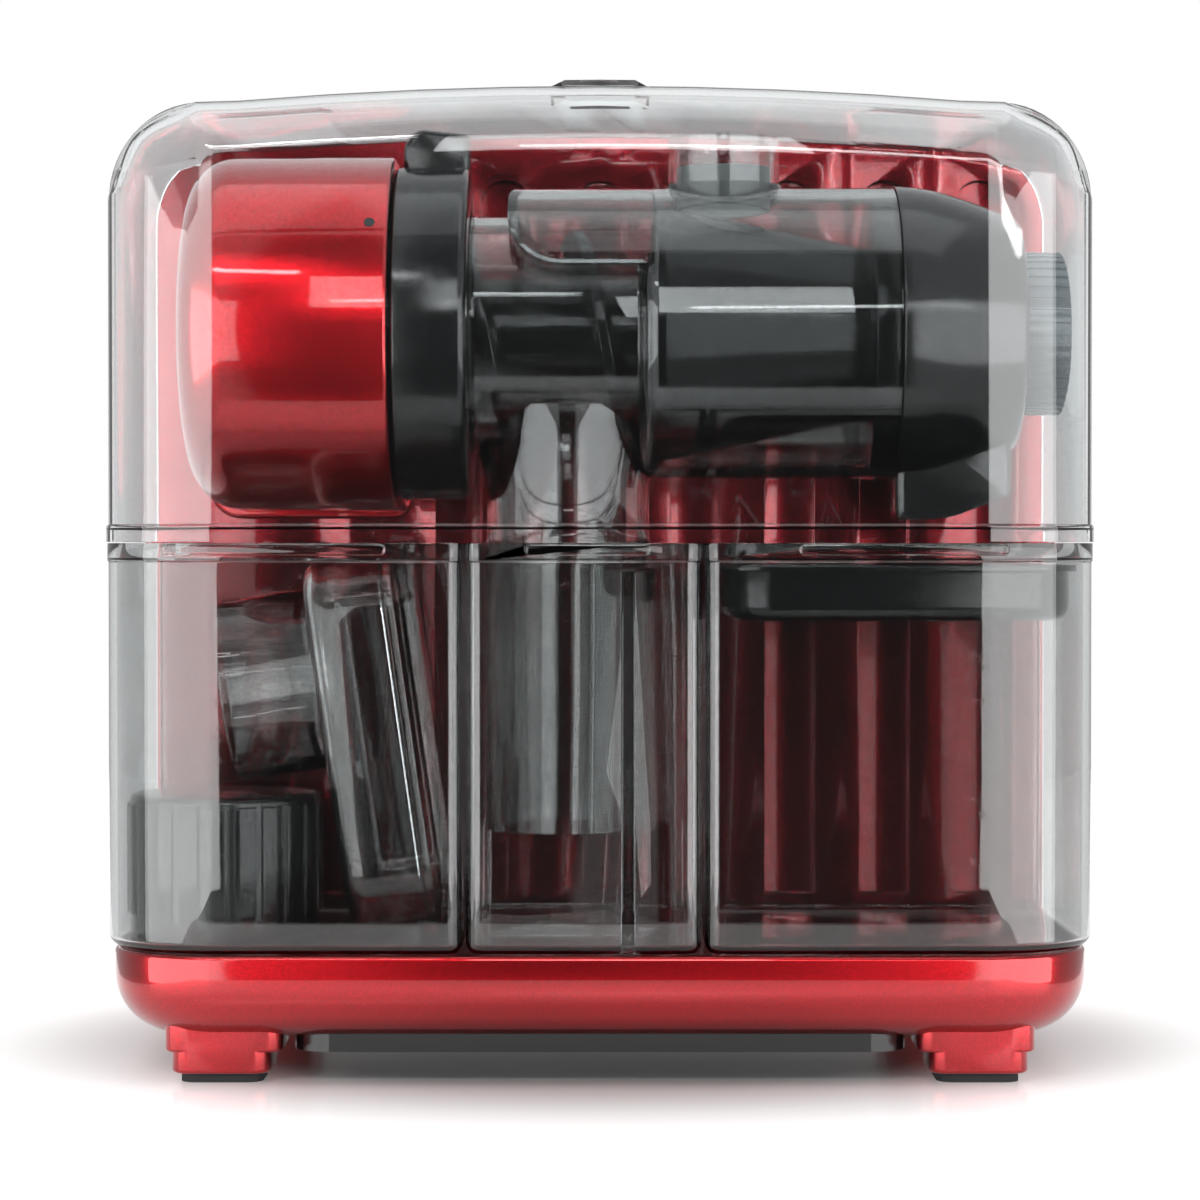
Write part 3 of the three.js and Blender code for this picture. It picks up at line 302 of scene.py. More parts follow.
# a two-colour surface with a grain: the common ground of the moulded, turned and painted finishes
def grainedLook(called, finish):
    tree, output, place = startLook(called)
    stretched = addNode(tree, "ShaderNodeMapping", {"Scale": finish.get("stretch", (1, 1, 1))}, {"Vector": place})
    grain = addNode(tree, "ShaderNodeTexNoise",
                    {"Scale": perMillimetre(finish["grain"]), "Detail": 3.0, "Roughness": 0.6},
                    {"Vector": stretched.outputs[0]})
    cloud = addNode(tree, "ShaderNodeTexNoise", {"Scale": perMillimetre(finish["cloud"]), "Detail": 2.0},
                    {"Vector": place})
    both = addNode(tree, "ShaderNodeMix", {"data_type": "FLOAT", 0: finish.get("cloudShare", 0.4)},
                   {2: grain.outputs["Fac"], 3: cloud.outputs["Fac"]})
    share = addNode(tree, "ShaderNodeMapRange", {"From Min": 0.35, "From Max": 0.65}, {"Value": both.outputs[0]})
    colour = addNode(tree, "ShaderNodeMix",
                     {"data_type": "RGBA", 6: linear(finish["dark"]), 7: linear(finish["light"])},
                     {0: share.outputs[0]})
    low, high = finish["roughness"]
    rough = addNode(tree, "ShaderNodeMapRange", {"To Min": low, "To Max": high}, {"Value": share.outputs[0]})
    bump = addNode(tree, "ShaderNodeBump", {"Strength": finish["bump"], "Distance": finish.get("depth", 0.05) * mm},
                   {"Height": grain.outputs["Fac"]})
    settings = {"Metallic": finish.get("metallic", 0.0), "Coat Weight": finish.get("coat", 0.0),
                "Coat Roughness": finish.get("coatRoughness", 0.05)}
    if "ior" in finish:
        settings["IOR"] = finish["ior"]
    shader = addNode(tree, "ShaderNodeBsdfPrincipled", settings,
                     {"Base Color": colour.outputs[2], "Roughness": rough.outputs[0], "Normal": bump.outputs[0]})
    tree.links.new(shader.outputs[0], output.inputs["Surface"])


# metallic lacquer over moulded ABS: aluminium flakes under a red clear coat, so a deep red with a soft
# broad sheen and a sharp highlight on top; real flakes are near 0.05 mm and are drawn at 0.35 mm
def lacquerLook(called, finish):
    tree, output, place = startLook(called)
    flakes = addNode(tree, "ShaderNodeTexVoronoi", {"Scale": perMillimetre(finish["flake"])}, {"Vector": place})
    glint = addNode(tree, "ShaderNodeMapRange", {"From Min": 0.1, "From Max": 0.95},
                    {"Value": flakes.outputs["Color"]})
    cloud = addNode(tree, "ShaderNodeTexNoise", {"Scale": perMillimetre(finish["cloud"]), "Detail": 2.0},
                    {"Vector": place})
    blend = addNode(tree, "ShaderNodeMix", {"data_type": "FLOAT", 0: 0.4},
                    {2: glint.outputs[0], 3: cloud.outputs["Fac"]})
    colour = addNode(tree, "ShaderNodeMix",
                     {"data_type": "RGBA", 6: linear(finish["dark"]), 7: linear(finish["light"])},
                     {0: blend.outputs[0]})
    low, high = finish["roughness"]
    rough = addNode(tree, "ShaderNodeMapRange", {"To Min": low, "To Max": high}, {"Value": cloud.outputs["Fac"]})
    bump = addNode(tree, "ShaderNodeBump", {"Strength": 0.06, "Distance": 0.02 * mm},
                   {"Height": flakes.outputs["Distance"]})
    shader = addNode(tree, "ShaderNodeBsdfPrincipled",
                     {"Metallic": finish["metallic"], "Coat Weight": 1.0, "Coat Roughness": 0.04, "Coat IOR": 1.5},
                     {"Base Color": colour.outputs[2], "Roughness": rough.outputs[0], "Normal": bump.outputs[0]})
    tree.links.new(shader.outputs[0], output.inputs["Surface"])


# clear moulded plastic: polished faces, bends what is behind it, darker where it is seen through its
# thickness, with faint flow marks and wear; lamps and bounced light pass through unbent
def clearLook(called, finish):
    tree, output, place = startLook(called)
    flow = addNode(tree, "ShaderNodeTexNoise", {"Scale": perMillimetre(finish["flow"]), "Detail": 1.0},
                   {"Vector": place})
    wear = addNode(tree, "ShaderNodeTexNoise", {"Scale": perMillimetre(finish["wear"]), "Detail": 4.0},
                   {"Vector": place})
    scuffs = addNode(tree, "ShaderNodeMapRange",
                     {"From Min": 0.6, "From Max": 0.75, "To Min": finish["polish"], "To Max": finish["scuffed"]},
                     {"Value": wear.outputs["Fac"]})
    bump = addNode(tree, "ShaderNodeBump", {"Strength": finish["wave"], "Distance": 1 * mm},
                   {"Height": flow.outputs["Fac"]})
    colour = addNode(tree, "ShaderNodeMix",
                     {"data_type": "RGBA", 6: linear(finish["tint"]), 7: linear(finish["tintLight"])},
                     {0: flow.outputs["Fac"]})
    shader = addNode(tree, "ShaderNodeBsdfPrincipled",
                     {"Transmission Weight": 1.0, "IOR": finish["ior"]},
                     {"Base Color": colour.outputs[2], "Roughness": scuffs.outputs[0], "Normal": bump.outputs[0]})
    through = addNode(tree, "ShaderNodeBsdfTransparent", {"Color": linear(finish["tintLight"])})
    ray = addNode(tree, "ShaderNodeLightPath")
    lightRay = addNode(tree, "ShaderNodeMath", {"operation": "MAXIMUM"},
                       {0: ray.outputs["Is Shadow Ray"], 1: ray.outputs["Is Diffuse Ray"]})
    mixed = addNode(tree, "ShaderNodeMixShader", {},
                    {0: lightRay.outputs[0], 1: shader.outputs[0], 2: through.outputs[0]})
    absorb = addNode(tree, "ShaderNodeVolumeAbsorption",
                     {"Color": linear(finish["depthColour"]), "Density": finish["density"]})
    tree.links.new(mixed.outputs[0], output.inputs["Surface"])
    tree.links.new(absorb.outputs[0], output.inputs["Volume"])


# metallic lacquer on moulded ABS: bright red with a soft broad sheen
lacquerLook("metallicRedLacquer", {"light": "#C4141E", "dark": "#8C0B14", "flake": 0.35, "cloud": 60,
                                   "roughness": (0.22, 0.28), "metallic": 0.93})
# painted shade: a darker copy of the red lacquer for the column and its rear cover, the same paint made a deeper
# red than the base and the motor head because the column stands in shade behind the hood and faces the dark front
lacquerLook("shadedRedLacquerCopy", {"light": "#86161F", "dark": "#5C0C14", "flake": 0.35, "cloud": 60,
                               "roughness": (0.16, 0.21), "metallic": 0.95})
# polished moulded ABS: near black with clear reflections
grainedLook("satinBlackAbs", {"light": "#1B1D1E", "dark": "#141617", "grain": 0.6, "cloud": 40,
                              "roughness": (0.13, 0.18), "bump": 0.015, "ior": 1.52})
# fine-textured moulded ABS: slate with blurred reflections
grainedLook("blueGreyAbs", {"light": "#62727A", "dark": "#4E5C63", "grain": 0.6, "cloud": 30,
                            "roughness": (0.25, 0.35), "bump": 0.03, "ior": 1.52})
# moulded rubber: matt and slightly pebbled
grainedLook("mouldedRubber", {"light": "#202021", "dark": "#121213", "grain": 0.8, "cloud": 20,
                              "roughness": (0.65, 0.85), "bump": 0.3, "ior": 1.5})
# moulded silicone: milky, with a soft sheen
grainedLook("translucentSilicone", {"light": "#DADDDC", "dark": "#C3C7C6", "grain": 0.7, "cloud": 12,
                                    "roughness": (0.35, 0.5), "bump": 0.1, "ior": 1.41})
# ground steel: bright, with the grinding lines round the shaft
grainedLook("groundSteel", {"light": "#B9BBBD", "dark": "#8F9294", "grain": 0.5, "cloud": 25,
                            "stretch": (0.05, 1, 1), "roughness": (0.22, 0.38), "bump": 0.15, "metallic": 1.0})
# pressed steel with a film of oil: dark grey and uneven
grainedLook("oiledPressedSteel", {"light": "#6A6D70", "dark": "#494C4E", "grain": 0.9, "cloud": 18,
                                  "roughness": (0.3, 0.5), "bump": 0.2, "metallic": 1.0})
# wound enamelled wire: copper in strands along the motor
grainedLook("enamelledCopperWire", {"light": "#B5703F", "dark": "#7E4423", "grain": 1.0, "cloud": 8,
                                    "stretch": (1, 0.1, 0.1), "roughness": (0.25, 0.4), "bump": 0.6,
                                    "depth": 0.3, "metallic": 0.9})
# sintered bronze: dull gold with open pores
grainedLook("sinteredBronze", {"light": "#B79C58", "dark": "#8C7438", "grain": 0.5, "cloud": 10,
                               "roughness": (0.35, 0.5), "bump": 0.3, "metallic": 1.0})
# machined nylon: ivory and waxy
grainedLook("naturalNylon", {"light": "#E8E4D6", "dark": "#D6D0BD", "grain": 0.5, "cloud": 15,
                             "roughness": (0.4, 0.55), "bump": 0.1, "ior": 1.53})
# solder mask over copper tracks: glossy green
grainedLook("greenSolderMask", {"light": "#2F6A43", "dark": "#1D4A2D", "grain": 1.5, "cloud": 9,
                                "roughness": (0.25, 0.4), "bump": 0.2, "ior": 1.5})
# moulded acrylic: nearly colourless
clearLook("clearHoodPlastic", {"tint": "#F2F5F6", "tintLight": "#F8FAFA", "flow": 45, "wear": 6,
                               "wave": 0.015, "polish": 0.01, "scuffed": 0.06, "ior": 1.49,
                               "depthColour": "#9AA2A6", "density": 14})
# moulded copolyester with a smoke tint: grey wherever it is seen edge on
clearLook("smokeClearPlastic", {"tint": "#E4E7E7", "tintLight": "#EEF0F0", "flow": 35, "wear": 5,
                                "wave": 0.02, "polish": 0.01, "scuffed": 0.08, "ior": 1.52,
                                "depthColour": "#565C5D", "density": 45})
# the drum's tougher plastic has a stronger smoke tint
clearLook("smokeDrumPlastic", {"tint": "#DCDFDF", "tintLight": "#E8EAEA", "flow": 25, "wear": 5,
                               "wave": 0.02, "polish": 0.01, "scuffed": 0.06, "ior": 1.55,
                               "depthColour": "#4B5051", "density": 60})
print("materials ready")

lookOfSlot = {"red_housing": "metallicRedLacquer", "black_plastic": "satinBlackAbs",
              "grey_plastic": "blueGreyAbs", "smoke_clear": "smokeClearPlastic",
              "clear_hood": "clearHoodPlastic", "black_rubber": "mouldedRubber",
              "silicone": "translucentSilicone", "steel": "groundSteel",
              "dark_steel": "oiledPressedSteel", "copper_winding": "enamelledCopperWire",
              "bronze_bush": "sinteredBronze", "gear_nylon": "naturalNylon",
              "circuit_board": "greenSolderMask"}
for subpart in frame["record"]["subparts"]:
    node = frame["nodes"][subpart["node"]]
    node.data.materials.clear()
    node.data.materials.append(looks[lookOfSlot[subpart["material_slot"]]])
print("CAD nodes finished")


# base
base = {"low": (-153, -102.5, 14), "high": (153, 102.5, 40.8), "frontCorner": 34, "rearCorner": 22,
        "belly": 19, "topEdge": 1.6, "footX": 117.5, "footY": 78, "footHalf": (15.5, 14), "footBottom": 2.9,
        "ledgeBottom": 9.6, "ledgeOut": 1.6, "pocketHalf": (96, 90), "pocketTop": 37.6, "pocketCorner": 12}


def makeBase():
    shell = block("base_shell", base["low"], base["high"])
    roundEdges(shell, base["frontCorner"], 14, lambda at, way: upright(at, way) and at.y < 0)
    roundEdges(shell, base["rearCorner"], 10, lambda at, way: upright(at, way) and at.y > 90)
    roundEdges(shell, base["belly"], 12, lambda at, way: abs(at.z - base["low"][2]) < 0.01)
    roundEdges(shell, base["topEdge"], 4, lambda at, way: abs(at.z - base["high"][2]) < 0.01)
    halfX, halfY = base["footHalf"]
    for side in (-1, 1):
        for end in (-1, 1):
            x, y = side * base["footX"], end * base["footY"]
            foot = block("foot", (x - halfX, y - halfY, base["footBottom"]), (x + halfX, y + halfY, 30))
            roundEdges(foot, 6, 6, upright)
            roundEdges(foot, 1.2, 3, lambda at, way: abs(at.z - base["footBottom"]) < 0.01)
            inward = base["ledgeOut"]   # the ledge stands out further towards the middle of the machine
            ledge = block("ledge", (x - halfX - inward * (side > 0) - 2, y - halfY, base["ledgeBottom"]),
                          (x + halfX + inward * (side < 0) + 2, y + halfY, 30))
            roundEdges(ledge, 5, 5, upright)
            roundEdges(ledge, 1, 3, lambda at, way: abs(at.z - base["ledgeBottom"]) < 0.01)
            weld(foot, ledge)
            weld(shell, foot)
    wide, deep = base["pocketHalf"]
    pocket = block("pocket", (-wide, -deep, 13), (wide, deep, base["pocketTop"]))
    roundEdges(pocket, base["pocketCorner"], 5, upright)
    cut(shell, pocket)
    settle(shell, "metallicRedLacquer", "machine", ["base_housing"])


makeBase()
print("base modelled")


# rear column and its cover
column = {"halfWidth": 155, "front": 16, "back": 99, "bottom": 41.1, "shoulder": 303.5, "crown": 5.8,
          "shoulderRadius": 29, "wall": 3.5, "frontWall": 7.5,
          "flutePitch": 32.3, "fluteWidth": 16.6, "fluteDepth": 4.2, "fluteBottom": 48, "fluteTop": 290.7,
          "shortFluteTop": 160}
crownStations = (-112, -84, -56, -28, 0, 28, 56, 84, 112)


def crownedBlock(called, halfWidth, front, back, bottom, shoulder, radius):
    piece = block(called, (-halfWidth, front, bottom), (halfWidth, back, shoulder))
    for x in crownStations:
        sliceAt(piece, (x, 0, 0), (1, 0, 0))
    reach = halfWidth - radius
    for x in crownStations:
        rise = column["crown"] * (1 - (x / reach) ** 2)
        slide(piece, lambda at: abs(at.x - x) < 0.01 and at.z > shoulder - 0.01, (0, 0, rise))
    return piece


def makeColumn():
    c = column
    shell = crownedBlock("column_shell", c["halfWidth"], c["front"], c["back"], c["bottom"], c["shoulder"],
                         c["shoulderRadius"])
    roundEdges(shell, c["shoulderRadius"], 14,
               lambda at, way: frontToBack(at, way) and abs(at.x) > c["halfWidth"] - 0.1 and at.z > 200)
    inner = c["shoulderRadius"] - c["wall"]
    hollow = crownedBlock("hollow", c["halfWidth"] - c["wall"], c["front"] + c["frontWall"], c["back"] + 2,
                          c["bottom"] + c["wall"], c["shoulder"] - c["wall"], inner)
    roundEdges(hollow, inner, 10,
               lambda at, way: frontToBack(at, way) and abs(at.x) > c["halfWidth"] - c["wall"] - 0.1 and at.z > 200)
    cut(shell, hollow)
    half = c["fluteWidth"] / 2
    for place in range(-4, 5):
        x = place * c["flutePitch"]
        top = c["shortFluteTop"] if place < -1 else c["fluteTop"]
        y = c["front"] - 1
        flute = pulled("flute", [((x - half, y, c["fluteBottom"]), 0), ((x + half, y, c["fluteBottom"]), 0),
                                 ((x + half, y, top), half * 0.98), ((x - half, y, top), half * 0.98)],
                       (0, c["fluteDepth"] + 1, 0))
        cut(shell, flute)
    softenEdges(shell, 0.8, 3, 50)
    # painted shade: the column takes the darker, shaded copy of the red lacquer
    settle(shell, "shadedRedLacquerCopy", "machine", ["column_housing"])


cover = {"halfWidth": 154, "corner": 28, "front": 99.3, "back": 102.5, "slots": (-62, 22), "firstSlot": 118,
         "slotPitch": 9, "slotHeight": 4, "slotCount": 7, "switch": (112, 86, 13, 19.5),
         "gland": (-118, 62, 8.3), "screwX": 144.5, "screwZ": (70, 262), "screwHead": 4.1, "screwHole": 2.2}


def makeRearCover():
    c = cover
    plate = crownedBlock("rear_cover_plate", c["halfWidth"], c["front"], c["back"], column["bottom"],
                         column["shoulder"] - 0.6, c["corner"])
    roundEdges(plate, c["corner"], 14,
               lambda at, way: frontToBack(at, way) and abs(at.x) > c["halfWidth"] - 0.1 and at.z > 200)
    for row in range(c["slotCount"]):
        z = c["firstSlot"] + c["slotPitch"] * row
        slot = block("slot", (c["slots"][0], 90, z), (c["slots"][1], 110, z + c["slotHeight"]))
        roundEdges(slot, 1.9, 5, frontToBack)
        cut(plate, slot)
    x, z, halfX, halfZ = c["switch"]
    cut(plate, block("window", (x - halfX, 90, z - halfZ), (x + halfX, 110, z + halfZ)))
    x, z, radius = c["gland"]
    cut(plate, rod("hole", (x, 90, z), (x, 110, z), radius, 48))
    for x in (-c["screwX"], c["screwX"]):
        for z in c["screwZ"]:
            cut(plate, rod("sink", (x, 100.7, z), (x, 110, z), c["screwHead"], 32))
            cut(plate, rod("hole", (x, 90, z), (x, 110, z), c["screwHole"], 24))
    softenEdges(plate, 0.7, 3, 50)
    # painted shade: the rear cover takes the darker, shaded copy of the red lacquer
    settle(plate, "shadedRedLacquerCopy", "machine", ["rear_cover"])


makeColumn()
makeRearCover()
print("column modelled")


# motor head
head = {"left": -131.4, "right": -65.5, "radius": 56.5, "back": 15.7, "nose": 15, "rim": 1.2, "flange": 3.4,
        "dotX": -71.2, "dotUp": 31.5, "dotRadius": 1.7}


def makeMotorHead():
    h = head
    y, z = drumAxis.y, drumAxis.z
    shell = block("motor_head_shell", (h["left"], y - h["radius"], z - h["radius"]),
                  (h["right"], h["back"], z + h["radius"]))
    roundEdges(shell, h["radius"] * 0.999, 28, lambda at, way: sideToSide(at, way) and at.y < y)
    tidyMesh(shell)
    roundEdges(shell, h["nose"], 9, lambda at, way: at.x < h["left"] + 0.01 and at.y < h["back"] - 0.1)
    roundEdges(shell, h["rim"], 4, lambda at, way: at.x > h["right"] - 0.01 and at.y < h["back"] - 0.1)
    flange = block("flange", (h["left"] - 2, h["back"] - h["flange"], z - h["radius"] - 2.5),
                   (h["right"] + 2, h["back"], z + h["radius"] + 2.5))
    roundEdges(flange, 12, 8, lambda at, way: frontToBack(at, way) and at.x < -100)
    roundEdges(flange, 7, 6, lambda at, way: frontToBack(at, way) and at.x > -100)
    roundEdges(flange, 1.4, 3, lambda at, way: at.y < h["back"] - h["flange"] + 0.1)
    weld(shell, flange)
    hollow = block("hollow", (h["left"] + 3, y - h["radius"] + 3, z - h["radius"] + 4),
                   (h["right"] + 5, h["back"] + 5, z + h["radius"] - 4))
    roundEdges(hollow, h["radius"] - 5, 20, lambda at, way: sideToSide(at, way) and at.y < y)
    tidyMesh(hollow)
    roundEdges(hollow, 12, 5, lambda at, way: at.x < h["left"] + 3.01 and at.y < h["back"])
    cut(shell, hollow)
    settle(shell, "metallicRedLacquer", "machine", ["motor_head"])
    up = h["dotUp"]   # a plain printed dot shows where the ring's lever stands when the drum is free
    out = Vector((0, -math.sqrt(h["radius"] ** 2 - up ** 2), up)).normalized()
    spot = Vector((h["dotX"], y, z)) + out * h["radius"]
    dot = rod("open_mark_dot", spot - out * 0.6, spot + out * 0.15, h["dotRadius"], 32)
    settle(dot, "satinBlackAbs", "machine")


makeMotorHead()
print("motor head modelled")


# locking ring
ring = {"left": -65.1, "right": -41.4, "radius": 53.4, "bore": 38.9, "throat": 39.2, "groove": 42.3,
        "reach": 66.8, "leverWidth": 17}


def makeRing():
    r = ring
    body = turned("lock_ring_body", [
        (r["left"], r["throat"], 0), (r["left"], r["radius"], 1.6), (r["right"], r["radius"], 2.6),
        (r["right"], r["bore"], 0.8), (r["right"] - 3.1, r["bore"], 0), (r["right"] - 3.1, r["groove"], 0),
        (r["left"] + 2, r["groove"], 0), (r["left"] + 2, r["throat"], 0),
    ], 128, True)
    y, z = drumAxis.y, drumAxis.z
    lever = pulled("lever", [
        ((r["left"] + 2, y - 4, z + 48), 0), ((r["right"] - 0.4, y - 4, z + 48), 0),
        ((r["right"] - 0.4, y - 4, z + r["reach"] - 2), 2.2), ((r["left"] + 6, y - 4, z + r["reach"]), 2.5),
        ((r["left"] + 2, y - 4, z + r["reach"] - 6), 1.5),
    ], (0, r["leverWidth"], 0))
    roundEdges(lever, 2, 4, lambda at, way: at.z > z + 49
               and min(abs(at.y - y + 4), abs(at.y - y + 4 - r["leverWidth"])) < 0.01)
    weld(body, lever)
    settle(body, "satinBlackAbs", "ring", ["lock_ring"])


makeRing()
print("locking ring modelled")


# juicing drum
drum = {"left": -59.1, "step": 12.9, "right": 93.8, "coupling": 38, "main": 46.9, "wall": 2.8,
        "chuteX": -10.4, "chuteRadius": 26.2, "chuteBottom": 75, "outletX": 39.8, "outletRadius": 17.8,
        "outletTop": 298, "flare": (182, 211), "flareOut": 5.5, "scoopLeft": -29, "scoopRise": 19.4,
        "shaftWay": 16.2}


def drumBody(called, inset):   # the outside with inset 0, the inside with the wall as inset
    d = drum
    end = 3 * (inset > 0)
    y, z = drumAxis.y, drumAxis.z
    barrel = turned(called, [
        (d["left"] + inset * 0.9, 0, 0),
        (d["left"] + inset * 0.9, d["coupling"] - inset, 0.5 if inset else 1.5),
        (d["step"] + inset, d["coupling"] - inset, 1.2), (d["step"] + inset, d["main"] - inset, 5.5 - inset),
        (d["right"] + end, d["main"] - inset, 0), (d["right"] + end, 0, 0),
    ], 112)
    chute = rod("chute", (d["chuteX"], y, d["chuteBottom"] - end), (d["chuteX"], y, z),
                d["chuteRadius"] - inset * 0.93, 96)
    weld(barrel, chute)
    low, high = d["flare"]   # the chute widens where it meets the barrel
    flare = rod("flare", (d["chuteX"], y, low), (d["chuteX"], y, high), d["chuteRadius"] - inset - 0.7, 88,
                d["chuteRadius"] - inset + d["flareOut"])
    weld(barrel, flare)
    outlet = rod("outlet", (d["outletX"], y, z + 30), (d["outletX"], y, d["outletTop"] + end),
                 d["outletRadius"] - inset * 0.86, 80)
    weld(barrel, outlet)
    if not inset:
        collar = rod("collar", (d["outletX"], y, z + 40), (d["outletX"], y, z + 47.6), d["outletRadius"] + 3.4, 80,
                     d["outletRadius"] + 1.2)
        weld(barrel, collar)
    # a scoop rises from the narrow part of the barrel, cut to its outline from the side
    scoop = rod("scoop", (d["scoopLeft"] + inset, y, z), (d["step"] + 4, y, z), d["main"] - inset - 0.2, 112)
    left, right = d["scoopLeft"] + inset - 0.2, d["step"] + 6
    low, high = z + d["scoopRise"] + inset, z + d["main"] + 0.3 - inset
    near = y - 60
    view = pulled("view", [((right, near, low), 0), ((right, near, high), 0), ((left, near, high), 6),
                           ((left, near, low), 17)], (0, 120, 0))
    combine(scoop, view, "INTERSECT")
    weld(barrel, scoop)
    return barrel


def makeDrum():
    outside = drumBody("juicing_drum", 0)
    inside = drumBody("inside", drum["wall"])
    cut(outside, inside)
    shaftWay = rod("shaftWay", (-66, drumAxis.y, drumAxis.z), (-52, drumAxis.y, drumAxis.z),
                   drum["shaftWay"], 48)
    cut(outside, shaftWay)
    settle(outside, "smokeDrumPlastic", "machine", ["drum"], 30)


screen = {"left": 16.6, "coneLeft": 20.4, "coneRight": 85.8, "right": 93.4, "rim": 43.6, "wide": 41, "narrow": 27.5}


def makeScreen():
    s = screen
    cone = turned("juice_screen_cone", [
        (s["left"], 35.6, 0), (s["left"], s["rim"], 0.6), (s["coneLeft"], s["rim"], 0),
        (s["coneLeft"], s["wide"], 0.5), (s["coneRight"], s["narrow"], 0.5), (s["coneRight"], s["rim"], 0.5),
        (s["right"], s["rim"], 0.6), (s["right"], s["rim"] - 2, 0), (88.3, s["rim"] - 2, 0),
        (88.3, s["narrow"] - 2.5, 0), (20, s["wide"] - 2.2, 0), (20, 35.6, 0),
    ], 96, True)
    settle(cone, "satinBlackAbs", "machine", ["juice_screen"])


auger = {"neckLeft": -56, "neck": 13, "left": -51, "right": 92, "tip": 109.6, "tipRadius": 8, "core": 18,
         "reach": 33.5, "root": 15, "taperFrom": 24, "taper": 0.38, "turns": 3.6, "stepsPerTurn": 48}


def makeAuger():
    a = auger
    y, z = drumAxis.y, drumAxis.z
    core = turned("auger_screw", [
        (a["neckLeft"], 0, 0), (a["neckLeft"], a["neck"], 0.6), (a["left"], a["neck"], 0),
        (a["left"], a["core"], 1), (a["taperFrom"], a["core"], 0), (a["right"], a["core"] * (1 - a["taper"]), 0),
        (a["right"], a["tipRadius"], 0), (a["tip"], a["tipRadius"], 1), (a["tip"], 0, 0),
    ], 64)
    low, high = a["left"] + 5, a["right"] - 3
    flight = drawLine("flight", [((low - 4.5, y, z + a["root"]), 0), ((low - 2, y, z + a["reach"]), 0.8),
                                 ((low + 2, y, z + a["reach"]), 0.8), ((low + 4.5, y, z + a["root"]), 0)], True)
    steps = int(a["stepsPerTurn"] * a["turns"])
    dropSelection()
    bpy.ops.object.empty_add(location=drumAxis * mm)
    centre = bpy.context.object
    useModifier(flight, "SCREW", {"angle": 2 * math.pi * a["turns"], "screw_offset": (high - low) * mm,
                                  "steps": steps, "render_steps": steps, "axis": "X",
                                  "use_merge_vertices": True, "object": centre})
    bpy.data.objects.remove(centre)
    for vertex in flight.data.vertices:   # the flight narrows inside the cone
        past = max(0, vertex.co.x / mm - a["taperFrom"]) / (a["right"] - a["taperFrom"])
        factor = 1 - a["taper"] * min(1, past)
        vertex.co.y = y * mm + (vertex.co.y - y * mm) * factor
        vertex.co.z = z * mm + (vertex.co.z - z * mm) * factor
    everything(flight)
    bpy.ops.mesh.select_all(action="DESELECT")
    bpy.ops.mesh.select_non_manifold()   # the open loops at both ends
    bpy.ops.mesh.edge_face_add()
    tidyMesh(flight)
    weld(core, flight)
    settle(core, "satinBlackAbs", "auger_drive", ["auger"])


seal = {"bottom": 274.6, "top": 288, "bore": 13.4, "radius": 15.1}


def makeOutletSeal():
    low, high, bore, radius = seal["bottom"], seal["top"], seal["bore"], seal["radius"]
    tube = turned("outlet_seal_ring", [(low, bore, 0.3), (low, radius, 0.3), (high, radius, 0.3),
                                       (high, bore, 0.3)], 80, True, Vector((drum["outletX"], drumAxis.y, 0)), "Z")
    settle(tube, "translucentSilicone", "machine", ["outlet_seal"])


makeDrum()
makeScreen()
makeAuger()
makeOutletSeal()
print("drum, screen and auger modelled")


# drum cap and pressure knob
cap = {"left": 94.2, "right": 134.2, "radius": 47.5, "end": 37.2, "spoutHalf": 15, "spoutBottom": 60,
       "spoutRight": 131.4, "wayHalf": 12.4, "boss": 12.5, "bore": 5.5, "shaftBore": 8.5}


def makeCap():
    c = cap
    y, z = drumAxis.y, drumAxis.z
    shell = turned("drum_cap_shell", [
        (c["left"], 0, 0), (c["left"], c["radius"], 0.6), (103.4, 46.9, 4), (113, 44.5, 5),
        (c["right"], c["end"], 2.4), (c["right"], 0, 0)], 112)
    near = y - c["spoutHalf"]
    spout = pulled("spout", [
        ((c["left"], near, z - 24), 0), ((c["left"], near, z - c["spoutBottom"]), 3),
        ((111, near, z - c["spoutBottom"] + 0.4), 4), ((c["spoutRight"], near, z - 52), 2.5),
        ((c["spoutRight"], near, z - 24), 0)], (0, 2 * c["spoutHalf"], 0))
    roundEdges(spout, 3, 4, lambda at, way: upright(at, way) and at.z < z - 30)
    weld(shell, spout)
    hollow = turned("hollow", [
        (c["left"] - 3, 0, 0), (c["left"] - 3, 44.4, 0), (103, 43.6, 0), (113, 41.2, 0), (130.8, 34.6, 2),
        (130.8, 0, 0)], 80)
    cut(shell, hollow)
    pulpWay = block("pulpWay", (96.8, y - c["wayHalf"], z - 70), (128.4, y + c["wayHalf"], z - 24))
    roundEdges(pulpWay, 2, 4, upright)
    cut(shell, pulpWay)
    boss = turned("boss", [(99.4, c["shaftBore"], 0), (99.4, c["boss"], 0.5), (133, c["boss"], 0),
                           (133, c["bore"], 0), (113.6, c["bore"], 0), (113.6, c["shaftBore"], 0)], 48, True)
    weld(shell, boss)
    cut(shell, rod("hole", (108, y, z), (150, y, z), c["bore"], 48))
    softenEdges(shell, 0.35, 2, 50)
    settle(shell, "satinBlackAbs", "cap", ["drum_cap"])


knob = {"left": 134.6, "right": 149.4, "radius": 26.2, "rib": 0.45, "ribs": 40, "dome": 151.8,
        "spindle": 5}


